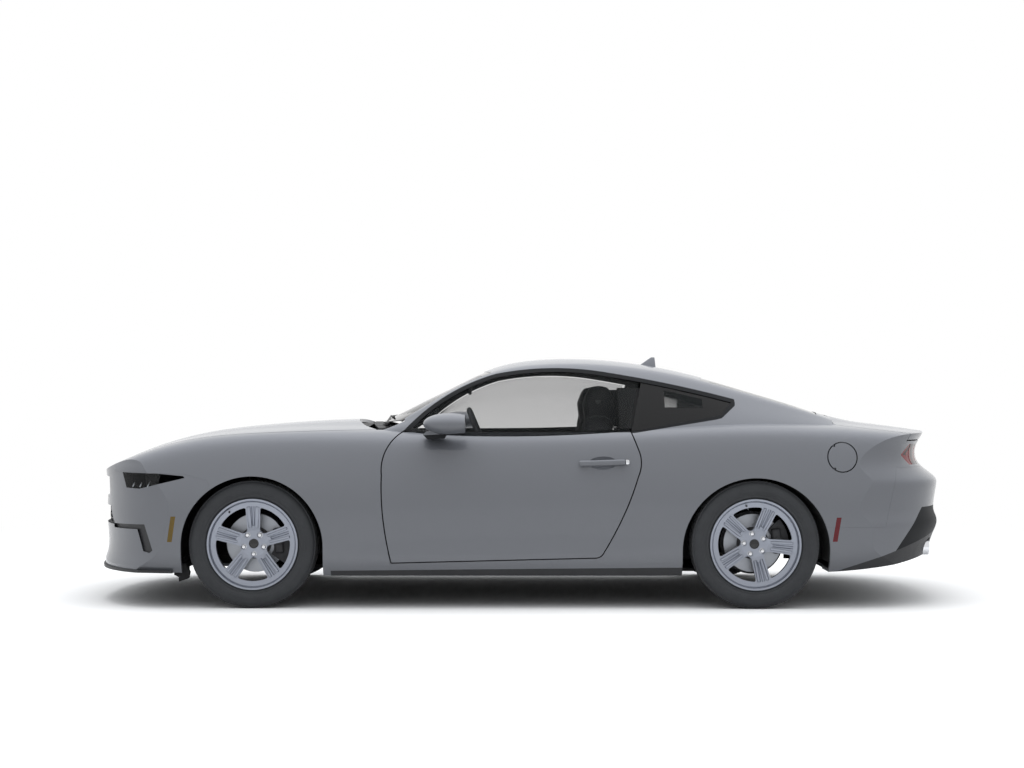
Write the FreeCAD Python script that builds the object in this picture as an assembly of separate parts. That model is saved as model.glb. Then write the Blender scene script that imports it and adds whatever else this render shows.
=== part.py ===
"""A two-door coupe car, built as separate panels, glass, running gear and cabin pieces.

Millimetres. X runs from the nose to the tail, Y to the car's right, Z up from the road.
The origin is on the road, midway between nose and tail.
"""
import FreeCAD
import Part
import math
import os

V = FreeCAD.Vector

# ---------------------------------------------------------------- driving sizes
LENGTH = 4810.0          # nose to tail
WIDTH = 1915.0           # over the rear haunches, without mirrors
ROOF_Z = 1383.0          # top of the roof panel
BELT_Z = 957.0           # lower edge of the side glass
WHEELBASE = 2719.0
FRONT_OVERHANG = 950.0
TRACK_FRONT = 1582.0
TRACK_REAR = 1648.0
TYRE_R = 346.0
TYRE_W = 236.0
RIM_R = 246.0            # over the rim flange
DISC_R = 160.0           # brake disc
DISC_T = 28.0
SKIN = 18.0              # folded edge depth of body panels
PILLAR = 30.0            # depth of roof and pillars
PANEL_GAP = 6.5          # shut line round doors and lids
HEM = 4.0                # thin folded edge next to a shut line
SEAT_GAP = 0.3           # clearance of a piece that sits in or on another
DOOR_DEPTH = 160.0       # widest point to door card
DOOR_FOLD = 45.0         # how far the door's inner box stands in from its edge
GLASS = 5.0
GLASS_SET = 4.0          # side glass stands in from the pillars' outer face
ARCH_FRONT_R = 384.0
ARCH_REAR_R = 398.0
DOOR_PIN_R = 4.0
SPINDLE_R = 20.0
FUEL_DOOR_R = 80.0
SEAT_WIDTH = 500.0
SEAT_Y = 385.0
SEAT_FRONT = 1315.0      # front seats' cushion behind the front axle
STEERING_WHEEL_R = 185.0

HALF = WIDTH / 2
NOSE = -LENGTH / 2
TAIL = LENGTH / 2
AXLE_F = NOSE + FRONT_OVERHANG
AXLE_R = AXLE_F + WHEELBASE
RISE = ROOF_Z - BELT_Z   # glasshouse height
BIG = 3000.0


# ---------------------------------------------------------------- shape helpers
def fa(d):
    """Place behind the front axle."""
    return AXLE_F + d


def ra(d):
    """Place behind the rear axle."""
    return AXLE_R + d


def up(share):
    """Height as a share of the glasshouse, 0 at the belt and 1 at the roof."""
    return BELT_Z + share * RISE


def box(x0, x1, y0, y1, z0, z1):
    return Part.makeBox(x1 - x0, y1 - y0, z1 - z0, V(x0, y0, z0))


def rod(a, b, r):
    """Cylinder of radius r from point a to point b."""
    a, b = V(*a), V(*b)
    return Part.makeCylinder(r, (b - a).Length, a, b - a)


def bent_tube(r, bend, *points):
    """Round bar along straight runs joined by tangent arcs."""
    points = [V(*p) for p in points]
    edges = []
    at = points[0]
    for a, b, c in zip(points, points[1:], points[2:]):
        u, w = (a - b).normalize(), (c - b).normalize()
        half = u.getAngle(w) / 2
        back = bend / math.tan(half)
        start, end = b + u * back, b + w * back
        middle = b + (u + w).normalize() * (bend / math.sin(half) - bend)
        edges += [Part.LineSegment(at, start).toShape(), Part.Arc(start, middle, end).toShape()]
        at = end
    edges.append(Part.LineSegment(at, points[-1]).toShape())
    circle = Part.Circle(points[0], points[1] - points[0], r).toShape()
    return Part.Wire(edges).makePipe(Part.Face(Part.Wire(circle)))


def mirrored(shape):
    """The same piece on the car's right side."""
    return shape.mirror(V(0, 0, 0), V(0, 1, 0))


def both(shape):
    return Part.Compound([shape, mirrored(shape)])


def outline(place, start, *steps):
    """Closed wire. A step is a point for a line, or (mid point, end point) for an arc."""
    edges = []
    at = place(*start)
    for step in steps + (start,):
        if isinstance(step[0], tuple):
            mid, end = place(*step[0]), place(*step[1])
            edges.append(Part.Arc(at, mid, end).toShape())
        else:
            end = place(*step)
            if (end - at).Length < 1e-6:
                continue
            edges.append(Part.LineSegment(at, end).toShape())
        at = end
    return Part.Wire(edges)


def side_wire(start, *steps):
    return outline(lambda x, z: V(x, 0, z), start, *steps)


def front_wire(start, *steps):
    return outline(lambda y, z: V(0, y, z), start, *steps)


def plan_wire(start, *steps):
    return outline(lambda x, y: V(x, y, 0), start, *steps)


def grown(wire, by):
    return wire.makeOffset2D(by) if abs(by) > 1e-9 else wire


def through_y(wire, y0, y1):
    """Solid between two Y planes with a side-view outline."""
    face = Part.Face(wire)
    face.translate(V(0, y0, 0))
    return face.extrude(V(0, y1 - y0, 0))


def through_x(wire, x0, x1):
    """Solid between two X planes with a front-view outline."""
    face = Part.Face(wire)
    face.translate(V(x0, 0, 0))
    return face.extrude(V(x1 - x0, 0, 0))


def through_z(wire, z0, z1):
    """Solid between two Z planes with a plan-view outline."""
    face = Part.Face(wire)
    face.translate(V(0, 0, z0))
    return face.extrude(V(0, 0, z1 - z0))


def revolved(profile, x, z):
    """Solid turned about a Y-wise axis at x, z. Profile points are (y, radius)."""
    points = [V(x, y, z + r) for y, r in profile]
    face = Part.Face(Part.makePolygon(points + points[:1]))
    return face.revolve(V(x, 0, z), V(0, 1, 0), 360)


def whole(shape):
    """The one solid of a boolean's result, or its solids if there are more."""
    solids = shape.Solids
    return solids[0] if len(solids) == 1 else Part.Compound(solids)


def largest(shape):
    return max(shape.Solids, key=lambda s: s.Volume)


# ---------------------------------------------------------------- smooth forms
def skin_surface(grid):
    """Cubic surface that follows a net of control points."""
    degree = 3
    sizes = (len(grid), len(grid[0]))
    knots = [[float(i) for i in range(n - degree + 1)] for n in sizes]
    mults = [[degree + 1] + [1] * (n - degree - 1) + [degree + 1] for n in sizes]
    surface = Part.BSplineSurface()
    surface.buildFromPolesMultsKnots(grid, mults[0], mults[1], knots[0], knots[1],
                                     False, False, degree, degree)
    return surface


def skinned_solid(grid):
    """Solid under a skin that arches from the left foot to the right foot."""
    surface = skin_surface(grid)
    u0, u1, v0, v1 = surface.bounds()
    left, right = surface.vIso(v0).toShape(), surface.vIso(v1).toShape()
    faces = [surface.toShape(), Part.makeRuledSurface(left, right)]
    for end in (surface.uIso(u0).toShape(), surface.uIso(u1).toShape()):
        a, b = end.Vertexes[0].Point, end.Vertexes[-1].Point
        faces.append(Part.Face(Part.Wire([end, Part.makeLine(b, a)])))
    shell = Part.Shell(faces)
    shell.sewShape()
    solid = Part.Solid(shell)
    if solid.Volume < 0:
        solid.reverse()
    return solid


def arch(x, half):
    """Control points of one cross-section, left foot over the centre to right foot."""
    return [V(x, -y, z) for y, z in half] + [V(x, y, z) for y, z in reversed(half[:-1])]


# Lower body sections. Columns: x, foot z, foot in, flare in, flare z, crease in, crease z,
# waist in, waist z, shoulder in, shoulder z, deck half-width, deck z, crown z.
# "in" is the distance in from the car's widest point.
LOWER = (
    (NOSE - 95, 205, 257, 197, 240, 157, 330, 119, 560, 157, 625, 640, 648, 675),
    (NOSE + 105, 200, 177, 127, 240, 107, 330, 77, 560, 127, 735, 680, 757, 787),
    (NOSE + 305, 195, 117, 77, 240, 62, 330, 42, 565, 107, 825, 710, 846, 878),
    (fa(-345), 190, 77, 37, 240, 32, 330, 17, 580, 95, 903, 740, 928, 959),
    (fa(0), 180, 67, 27, 240, 25, 330, 9, 600, 89, 938, 745, 957, 993),
    (fa(455), 175, 72, 32, 240, 45, 330, 23, 630, 85, 944, 750, 974, 1029),
    (fa(955), 175, 77, 32, 245, 55, 345, 33, 650, 82, 936, 760, 964, 1017),
    (ra(-1064), 175, 77, 32, 250, 57, 370, 33, 660, 80, 938, 770, 962, 1002),
    (ra(-514), 175, 72, 29, 250, 45, 390, 19, 660, 68, 962, 770, 990, 1020),
    (ra(-14), 180, 57, 17, 250, 19, 380, -3, 640, 60, 984, 760, 1012, 1040),
    (ra(436), 195, 77, 32, 255, 27, 370, 9, 620, 77, 964, 740, 990, 1092),
    (ra(636), 210, 100, 48, 272, 38, 378, 22, 612, 90, 953, 722, 976, 1000),
    (TAIL - 305, 240, 127, 72, 300, 57, 390, 39, 600, 107, 936, 700, 958, 996),
    (TAIL + 95, 330, 197, 137, 370, 117, 430, 95, 580, 157, 892, 640, 916, 928),
)


def lower_section(row, inset):
    (x, foot_z, foot, flare, flare_z, crease, crease_z, waist, waist_z,
     shoulder, shoulder_z, deck_y, deck_z, crown_z) = row
    y = HALF - inset
    side_y = y - (waist + shoulder - 14) / 2 + 6
    return arch(x, [
        (y - foot, foot_z + inset),
        (y - flare, flare_z),
        (y - crease, crease_z),
        (y - waist - 3, (crease_z + waist_z) / 2),
        (y - waist, waist_z),
        (side_y, (waist_z + shoulder_z - 45) / 2),
        (y - shoulder + 14, shoulder_z - 45 - 0.3 * inset),
        (HALF - shoulder - 35 - 0.4 * inset, shoulder_z + 2 - inset),
        (deck_y - 0.2 * inset, deck_z - inset),
        (0.64 * deck_y, 0.72 * deck_z + 0.28 * crown_z - inset),
        (0.5 * deck_y, 0.25 * deck_z + 0.75 * crown_z - inset),
        (0, crown_z - inset),
    ])


# Glasshouse sections. Columns: x, belt in, rail half-width, rail height, crown height.
# Heights are shares of the glasshouse height.
UPPER = (
    (fa(555), 225, 640, -0.05, 0.06),
    (fa(695), 190, 700, 0.050, 0.160),
    (fa(855), 135, 742, 0.205, 0.376),
    (fa(1055), 112, 702, 0.515, 0.578),
    (fa(1225), 104, 655, 0.705, 0.792),
    (fa(1395), 100, 622, 0.826, 0.942),
    (fa(1705), 98, 604, 0.882, 1.0),
    (ra(-664), 102, 602, 0.836, 0.952),
    (ra(-314), 116, 610, 0.690, 0.809),
    (ra(36), 142, 622, 0.450, 0.551),
    (ra(336), 182, 622, 0.255, 0.352),
    (ra(586), 232, 600, 0.050, 0.125),
    (ra(756), 262, 560, -0.055, -0.03),
)
UPPER_FOOT_Z = BELT_Z - 97.0


def upper_section(row, inset):
    x, belt, rail_y, rail, crown = row
    belt_y = HALF - belt - inset
    rail_y = rail_y - 0.8 * inset
    rail_z = up(rail) - 0.9 * inset
    crown_z = up(crown) - inset
    belt_z = min(BELT_Z + 3, rail_z - 6)
    foot_z = UPPER_FOOT_Z + inset
    lean = (belt_y - rail_y) / (rail_z - belt_z)
    return arch(x, [
        (belt_y, foot_z),
        (belt_y, 0.5 * (foot_z + belt_z)),
        (belt_y - 2, belt_z),
        (0.5 * (belt_y + rail_y) + 8, 0.5 * (belt_z + rail_z)),
        (rail_y + 0.25 * (belt_y - rail_y), rail_z - 0.25 * (belt_y - rail_y) / lean),
        (rail_y, rail_z),
        (0.88 * rail_y, rail_z + 0.26 * (crown_z - rail_z)),
        (0.55 * rail_y, rail_z + 0.78 * (crown_z - rail_z)),
        (0, crown_z),
    ])


def lower_form(inset):
    return skinned_solid([lower_section(row, inset) for row in LOWER])


def upper_form(inset):
    return skinned_solid([upper_section(row, inset) for row in UPPER])


# How far the ends sweep back. Columns: half-width, sweep.
NOSE_SWEEP = ((0, 0), (300, 10), (560, 75), (HALF - 217, 190), (HALF - 97, 320),
              (HALF - 27, 470), (HALF + 35, 740), (HALF + 143, 1300))
TAIL_SWEEP = ((0, 0), (300, 12), (560, 70), (HALF - 237, 150), (HALF - 137, 260),
              (HALF - 67, 380), (HALF - 7, 600), (HALF + 43, 850), (HALF + 143, 1400))
# End profiles on the centre line. Columns: z, distance in from the end.
NOSE_PROFILE = ((-200, 60), (120, 24), (205, 0), (235, -4), (290, 22), (400, 18), (480, 6),
                (560, 14), (660, 12), (735, 2), (760, 2), (820, 30), (1200, 60))
TAIL_PROFILE = ((-200, 300), (120, 230), (205, 70), (310, 45), (380, 22), (430, -4), (470, -2),
                (505, 20), (560, 16), (640, 2), (675, -4), (700, 10), (755, 92), (800, 122),
                (850, 124), (900, 106), (940, 76), (965, 76), (1100, 110), (1300, 150))


def end_cutter(end, inward, sweeps, profile, inset):
    """Solid of everything beyond the nose (inward +1) or the tail (inward -1)."""
    ys = [-y for y, _ in reversed(sweeps)] + [y for y, _ in sweeps[1:]]
    sweep = {y: s for y, s in sweeps}
    grid = [[V(end + inward * (sweep[abs(y)] + d + inset), y, z) for z, d in profile]
            for y in ys]
    return skin_surface(grid).toShape().extrude(V(-inward * BIG, 0, 0))


def trimmed(form, inset):
    cut = form.cut(end_cutter(NOSE, 1, NOSE_SWEEP, NOSE_PROFILE, inset))
    return largest(cut.cut(end_cutter(TAIL, -1, TAIL_SWEEP, TAIL_PROFILE, inset)))


# ---------------------------------------------------------------- outlines
DOOR = side_wire(
    (fa(814), BELT_Z + 1), ((fa(728), BELT_Z - 91), (fa(700), BELT_Z - 237)),
    ((fa(709), 480), (fa(752), 246)), (ra(-864), 273),
    ((ra(-836), 281), (ra(-816), 305)), ((ra(-719), 485), (ra(-632), BELT_Z - 242)),
    ((ra(-616), BELT_Z - 167), (ra(-630), BELT_Z - 99)), (ra(-668), BELT_Z + 1),
    (ra(-672), BELT_Z + 12), (fa(830), BELT_Z + 12))
DAYLIGHT = side_wire(
    (fa(837), BELT_Z - 4), ((fa(1078), up(0.448)), (fa(1319), up(0.692))),
    ((fa(1655), up(0.768)), (ra(-785), up(0.709))),
    ((ra(-421), up(0.549)), (ra(-101), up(0.369))), (ra(-163), up(0.209)),
    (ra(-209), up(0.183)), ((ra(-382), up(0.113)), (ra(-650), BELT_Z)))
HOOD = plan_wire(
    (fa(-788), -640), ((fa(-897), 0), (fa(-788), 640)), ((fa(-245), 752), (fa(665), 742)),
    ((fa(510), 0), (fa(665), -742)), ((fa(-245), -752), (fa(-788), -640)))
WINDSHIELD = plan_wire(
    (fa(800), -728), (fa(1290), -606), ((fa(1240), 0), (fa(1290), 606)), (fa(800), 728),
    ((fa(618), 0), (fa(800), -728)))
COWL = plan_wire(
    (fa(655), -748), ((fa(502), 0), (fa(655), 748)), (fa(815), 748), (fa(815), -748))
ROOF = plan_wire(
    (fa(1293), -572), ((fa(1245), 0), (fa(1293), 572)), (ra(-262), 572),
    ((ra(-218), 0), (ra(-262), -572)))
BACKLIGHT = plan_wire(
    (ra(-258), -566), ((ra(-214), 0), (ra(-258), 566)), (ra(385), 600),
    ((ra(440), 0), (ra(385), -600)))
TRUNK = plan_wire(
    (ra(468), -660), ((ra(500), 0), (ra(468), 660)), ((TAIL - 320, 742), (TAIL - 60, 722)),
    (TAIL + 100, 700), (TAIL + 100, -700), (TAIL - 60, -722),
    ((TAIL - 320, -742), (ra(468), -660)))
TRUNK_DROP_HALF = 350.0      # half-width of the lid's upright face
TRUNK_DROP_Z = 712.0
TRUNK_LIP_Z = 905.0
LID_FRONT_ROOM = 5.2         # wider shut line where the lid's front edge swings past
HOOD_ROOM = 0.4
FASCIA_SEAM = side_wire(
    (NOSE - 200, 100), (fa(60), 100), (fa(-242), 694), (fa(-370), 727), (fa(-788), 733),
    (fa(-788), 1100), (NOSE - 200, 1100))
REAR_SEAM = side_wire(
    (ra(60), 90), (ra(60), 440), (ra(706), 440), (ra(780), 758), (TAIL + 200, 758),
    (TAIL + 200, 90))

HINGE_X = fa(790)
WIDEST_AT_HINGE = HALF - 32.0
HINGE_COVER = 24.0           # pin centre to the door's widest outer face
HINGE_ZS = (480.0, 690.0)
HINGE_TALL = 36.0
HINGE_LUG_R = 9.0
FLOOR_Z = 180.0
FLOOR_T = 18.0
FLOOR_HALF = HALF - 160.0
TUNNEL_HALF = 110.0
TUNNEL_Z = 420.0
TUNNEL_T = 12.0
JACK_PAD = 60.0
JACK_Y = FLOOR_HALF - 40.0
JACK_XS = (fa(560), ra(-560))
PLATE_SPACING = 178.0        # number plate screws
PLATE_Z = 600.0
PLATE_HOLE_R = 3.5
PIPE_R = 28.0
TIP_R = 46.0                 # exhaust tips
TIP_Y = 620.0
TIP_Z = 312.0
DOOR_CARD_Y = HALF - DOOR_DEPTH
WHEEL_Z = TYRE_R
STEER_ROOM = 92.0            # wheelhouse beyond the tyre, for full lock
WHEELHOUSE_FRONT_Y = TRACK_FRONT / 2 - 330.0
WHEELHOUSE_REAR_Y = TRACK_REAR / 2 - 145.0
WHEELHOUSE_OUT_Y = HALF - 88.0
LINER_T = 4.0
ARCH_FRONT_Z = WHEEL_Z - 15.0
ARCH_REAR_Z = WHEEL_Z - 38.0
ARCH_REAR_X = AXLE_R + 4.0

RIM_SEAT_R = RIM_R - 10.0    # where the tyre's bead sits
RIM_HALF = TYRE_W / 2 - 12.0
HUB_FACE = 24.0              # wheel bolting face, outboard of the tyre's middle
HUB_T = 26.0
HUB_R = 78.0
SPOKES = 5
SPOKE_HALF = 40.0            # half-width of a spoke at its outer end
WINDOW_R = 201.0             # outer edge of the openings between spokes
WINDOW_FILLET = 9.0
GROOVE_R = 8.0
LUG_RING_R = 57.15
LUG_POCKET_R = 15.5
CAP_R = 27.0
FRONT_PHASE = math.radians(90)
REAR_PHASE = math.radians(67)
HAT_DEPTH = 45.0
HAT_R = 76.0
CARRIER_R = 60.0

KINGPIN_LOW = (704.0, 215.0)     # half-width and height
KINGPIN_TOP = (560.0, 860.0)
KNUCKLE_LOW_Z = WHEEL_Z - 105.0
KNUCKLE_TOP_Z = WHEEL_Z + 118.0
BALL_R = 11.0
STRUT_R = 26.0

MIRROR = (fa(1075), HALF + 28.0, BELT_Z + 42.0)
STEERING_HUB = V(fa(1230), -SEAT_Y, 900.0)
COLUMN_TILT = 22.0
COLUMN_R = 16.0

HOOD_PIN = (fa(690), 925.0)      # x and z of the hood's hinge pins
HOOD_PIN_Y = 670.0
HOOD_PIN_R = 5.0
TRUNK_PIN = (ra(385), 990.0)
TRUNK_PIN_Y = 560.0
TRUNK_PIN_R = 6.0
ARM_T = 10.0
FUEL_X = ra(470)
FUEL_Z = 818.0
FUEL_HINGE = 47.0                # hinge line ahead of the filler's centre
FUEL_PIN_R = 2.5
FUEL_PIN_DEPTH = 8.0
FUEL_CUP_T = 9.0
FUEL_CUP_DEPTH = 75.0

SKIRT = side_wire((fa(425), 60), (fa(425), 204), (AXLE_R - 380, 222), (AXLE_R - 380, 60))
DIFFUSER = side_wire((ra(414), 60), (ra(414), 190), (ra(716), 290), (TAIL - 90, 400),
                     (TAIL + 200, 400), (TAIL + 200, 60))
TAIL_LAMP = side_wire((TAIL - 320, 772), (TAIL - 320, 885), (TAIL + 100, 885),
                      (TAIL + 100, 772))
B_POST = ((ra(-650), BELT_Z - 40), (ra(-576), BELT_Z + 292), (ra(-534), BELT_Z + 292),
          (ra(-608), BELT_Z - 40))
LAMP_X = fa(-733)            # headlamp's front end
LAMP_IN_Y = 500.0
LAMP_GROOVES_Y = (475.0, 585.0, 690.0)
UPPER_GRILLE = front_wire((-500, 588), (500, 588), ((548, 600), (556, 640)), (570, 700),
                          (-570, 700), (-556, 640), ((-548, 600), (-500, 588)))
LOWER_GRILLE = front_wire((-640, 440), (640, 440), ((652, 446), (644, 462)), (590, 540),
                          (-590, 540), (-644, 462), ((-652, 446), (-640, 440)))
SLOT_PITCH = (104.0, 23.0)   # grille slots, across and up
SLOT_WEB = (12.0, 7.0)       # bars left between them
CORNER_VENT = side_wire((fa(-805), 421), (fa(-805), 446), (fa(-590), 452),
                        (fa(-541), 312), (fa(-558), 298), (fa(-597), 306), (fa(-635), 424))
VENT_IN_Y = 500.0
DEFLECTOR = side_wire((fa(-405), 139), (fa(-352), 158), (fa(-346), 192), (fa(-368), 236),
                      (fa(-386), 236), (fa(-412), 222), (fa(-430), 205), (fa(-430), 178),
                      (fa(-405), 165))
DEFLECTOR_IN_Y = 610.0
DEFLECTOR_OUT_Y = 823.0      # its full depth is only outboard of the steered tyre
SEAT_X = fa(SEAT_FRONT)
HANDLE_X = fa(1895)
HANDLE_Z = 786.0
SHELF_Z = 882.0
BOOT_Z = 420.0
COWL_DEPTH = 24.0            # the cowl lies this far under the hood's line
TRIM_T = 14.0                # black trim that lines the skin from behind


def cylinder_y(x, z, r, y0, y1):
    return Part.makeCylinder(r, abs(y1 - y0), V(x, min(y0, y1), z), V(0, 1, 0))


def side_plate(points, y, thick):
    """Flat plate standing along the car, its outline in x and z."""
    return through_y(side_wire(*points), y - thick / 2, y + thick / 2)


class Body:
    """The closed outer forms, their hollows, and what is cut from them."""

    def __init__(self):
        self.lower = trimmed(lower_form(0), 0)
        self.hollow = trimmed(lower_form(SKIN), SKIN)
        self.hem = trimmed(lower_form(HEM), HEM)
        self.backing = self.hollow.cut(trimmed(lower_form(SKIN + TRIM_T), SKIN + TRIM_T))
        self.upper = upper_form(0)
        self.room = upper_form(PILLAR)
        self.glass = upper_form(GLASS_SET).cut(upper_form(GLASS_SET + GLASS))
        self.room_band = upper_form(GLASS_SET + GLASS + PANEL_GAP).cut(self.room)
        self.arches = self.arch_cutters()
        outer = self.lower.fuse(self.upper)
        inner = self.hollow.fuse(self.room)
        self.shell = largest(outer.cut(inner).cut(self.arches))
        self.lower_shell = self.lower.cut([self.hollow, self.upper] + self.arches)

    def arch_cutters(self):
        """Wheel openings with their wheelhouses, on both sides."""
        cuts = []
        for x, z, r, inner, outer in (
                (AXLE_F, ARCH_FRONT_Z, ARCH_FRONT_R, WHEELHOUSE_FRONT_Y, BIG),
                (AXLE_F, WHEEL_Z, TYRE_R + STEER_ROOM, WHEELHOUSE_FRONT_Y, WHEELHOUSE_OUT_Y),
                (ARCH_REAR_X, ARCH_REAR_Z, ARCH_REAR_R, WHEELHOUSE_REAR_Y, BIG)):
            left = cylinder_y(x, z, r, -outer, -inner)
            if outer == BIG:
                left = left.fuse(box(x - r, x + r, -outer, -inner, 0, z))
            cuts += [left, mirrored(left)]
        return cuts

    def skin_y(self, x, z):
        """Half-width of the lower body at one place."""
        line = Part.makeLine(V(x, 0, z), V(x, -BIG, z))
        return -self.lower.common(line).BoundBox.YMin

    def top_z(self, form, x, y):
        """Height of a form's top at one place."""
        line = Part.makeLine(V(x, y, 400), V(x, y, BIG))
        return form.common(line).BoundBox.ZMax

    def panel(self, prism, folds):
        """Skin inside a prism, carrying the inner pieces given as folds."""
        block = self.lower.common(prism.fuse(folds) if folds else prism)
        return block.cut(self.hollow.cut(folds) if folds else self.hollow)


# ---------------------------------------------------------------- body panels
def door_line():
    """Hinge pin centre line, as x and half-width."""
    return HINGE_X, WIDEST_AT_HINGE - HINGE_COVER


def build_door(body):
    """Left door with its folded edge, inner box, hinge lugs and handle recess."""
    x, y = door_line()
    edge = through_y(grown(DOOR, -PANEL_GAP / 2), -BIG, -DOOR_CARD_Y)
    inner = through_y(grown(DOOR, -DOOR_FOLD), -BIG, -DOOR_CARD_Y)
    front = box(fa(600), x + 14, -BIG, 0, 0, BELT_Z + 60)
    inner = inner.cut(front)
    block = body.lower.common(edge)
    fold = body.hollow.common(edge.cut(inner))
    door = block.cut(fold)
    for z in HINGE_ZS:
        door = door.cut(box(x - 34, x + 22, -y - 10, -y + 30, z - HINGE_TALL / 2 - 6,
                            z + HINGE_TALL / 2 + 6))
        lug = rod((x, -y, z - 6), (x, -y, z + 6), HINGE_LUG_R)
        lug = lug.fuse(box(x, x + 30, -y - 6, -y + 9, z - 6, z + 6))
        door = door.fuse(lug).cut(rod((x, -y, z - 40), (x, -y, z + 40), DOOR_PIN_R + SEAT_GAP))
    scoop = Part.makeSphere(1.0).transformGeometry(FreeCAD.Matrix(
        78, 0, 0, HANDLE_X, 0, 13, 0, -body.skin_y(HANDLE_X, HANDLE_Z), 0, 0, 40, HANDLE_Z,
        0, 0, 0, 1))
    return largest(door.cut(scoop))


def build_door_ring(body):
    """Hinge post, sill and lock post round the left door."""
    x, y = door_line()
    ring = through_y(grown(DOOR, 62), -BIG, -DOOR_CARD_Y + 57)
    ring = ring.cut(through_y(grown(DOOR, 12), -BIG, BIG))
    ring = ring.common(box(-BIG, BIG, -BIG, 0, 0, BELT_Z - 60)).common(body.hollow)
    ring = largest(ring)
    post_x = fa(712)
    card_y = -DOOR_CARD_Y + 7
    for z in HINGE_ZS:
        for z0, z1 in ((z - HINGE_TALL / 2, z - 6.5), (z + 6.5, z + HINGE_TALL / 2)):
            arm = rod((x, -y, z0), (x, -y, z1), HINGE_LUG_R)
            arm = arm.fuse([box(x - 6, x + 6, -y, card_y + 15, z0, z1),
                            box(post_x - 40, x + 6, card_y, card_y + 15, z0, z1)])
            ring = ring.fuse(arm)
        ring = ring.fuse(rod((x, -y, z - HINGE_TALL / 2), (x, -y, z + HINGE_TALL / 2),
                             DOOR_PIN_R))
    return ring


def hood_arm():
    x, z = HOOD_PIN
    plate = side_plate(((x - 150, z + 90), (x - 190, z + 90), (x - 190, z - 5),
                        ((x - 175, z - 20), (x - 150, z - 22)), (x, z - 14),
                        ((x + 14, z), (x, z + 14)), (x - 120, z + 8)), -HOOD_PIN_Y, ARM_T)
    return plate.cut(cylinder_y(x, z, HOOD_PIN_R + SEAT_GAP, -HOOD_PIN_Y - 30,
                                -HOOD_PIN_Y + 30))


def trunk_arm():
    """Gooseneck that drops below the deck before it reaches the lid."""
    x, z = TRUNK_PIN
    plate = side_plate(((x - 12, z + 4), (x + 12, z + 8), (x + 13, z - 90),
                        ((x + 20, z - 114), (x + 44, z - 122)), (x + 160, z - 118),
                        ((x + 190, z - 104), (x + 200, z - 70)), (x + 214, z + 100),
                        (x + 244, z + 100), (x + 228, z - 76),
                        ((x + 214, z - 128), (x + 166, z - 144)), (x + 40, z - 146),
                        ((x + 2, z - 134), (x - 12, z - 100))), -TRUNK_PIN_Y, ARM_T)
    eye = cylinder_y(x, z, 14, -TRUNK_PIN_Y - ARM_T / 2, -TRUNK_PIN_Y + ARM_T / 2)
    return plate.fuse(eye).cut(cylinder_y(x, z, TRUNK_PIN_R + SEAT_GAP, -TRUNK_PIN_Y - 30,
                                          -TRUNK_PIN_Y + 30))


def hood_bracket():
    """Bracket on the firewall that carries the hood's left hinge pin."""
    x, z = HOOD_PIN
    y0 = -HOOD_PIN_Y + ARM_T / 2 + 1
    plate = side_plate(((fa(576), z - 120), (fa(576), z - 60), (x - 40, z - 26), (x - 10, z + 8),
                        (x + 10, z + 8), (x + 12, z - 20), (x - 10, z - 60)), y0 + 4, 8)
    return plate.fuse(cylinder_y(x, z, HOOD_PIN_R, -HOOD_PIN_Y - ARM_T, y0 + 6))


def trunk_bracket():
    """Bracket on the parcel shelf that carries the trunk lid's left hinge pin."""
    x, z = TRUNK_PIN
    y0 = -TRUNK_PIN_Y + ARM_T / 2 + 1
    plate = side_plate(((x - 60, SHELF_Z), (x - 16, SHELF_Z), (x + 12, z - 16), (x + 12, z + 10),
                        (x - 14, z + 10), (x - 60, z - 30)), y0 + 4, 8)
    return plate.fuse(cylinder_y(x, z, TRUNK_PIN_R, -TRUNK_PIN_Y - ARM_T, y0 + 6))


def lamp_outline():
    """Side view of a headlamp."""
    return side_wire((LAMP_X + 25, 648), (fa(-620), 645), (fa(-363), 706), (fa(-372), 716),
                     (fa(-520), 729), (LAMP_X, 731))


def marker_outline(x, z0, z1, lean):
    return side_wire((x, z0), (x + 26, z0), (x + 26 + lean, z1), (x + lean, z1))


def grille_holes():
    return [through_x(w, NOSE - 50, NOSE + 260) for w in (UPPER_GRILLE, LOWER_GRILLE)]


def build_grille(body, hood_zone):
    """Slotted grilles and the corner vents' linings, lying behind the bumper skin."""
    pieces = []
    for wire in (UPPER_GRILLE, LOWER_GRILLE):
        around = wire.BoundBox
        plate = body.backing.common(through_x(grown(wire, 7), NOSE - 50, NOSE + 330))
        slots = []
        rows = int((around.ZLength - SLOT_WEB[1]) // SLOT_PITCH[1])
        z = around.Center.z - rows / 2 * SLOT_PITCH[1] + SLOT_WEB[1] / 2
        for row in range(rows):
            half = around.YLength / 2 - 70
            count = int(2 * half // SLOT_PITCH[0]) + row % 2
            y = -count / 2 * SLOT_PITCH[0] + SLOT_WEB[0] / 2
            for i in range(count):
                y0, z0 = y + i * SLOT_PITCH[0], z + row * SLOT_PITCH[1]
                slots.append(box(NOSE - 50, NOSE + 330, y0, y0 + SLOT_PITCH[0] - SLOT_WEB[0],
                                 z0, z0 + SLOT_PITCH[1] - SLOT_WEB[1]))
        pieces.append(largest(plate.cut(slots + [hood_zone])))
    lining = largest(body.backing.common(through_y(grown(CORNER_VENT, 7), -BIG, -VENT_IN_Y)
                                         ).cut(pieces))
    return Part.Compound(pieces + [lining, mirrored(lining)])


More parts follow.
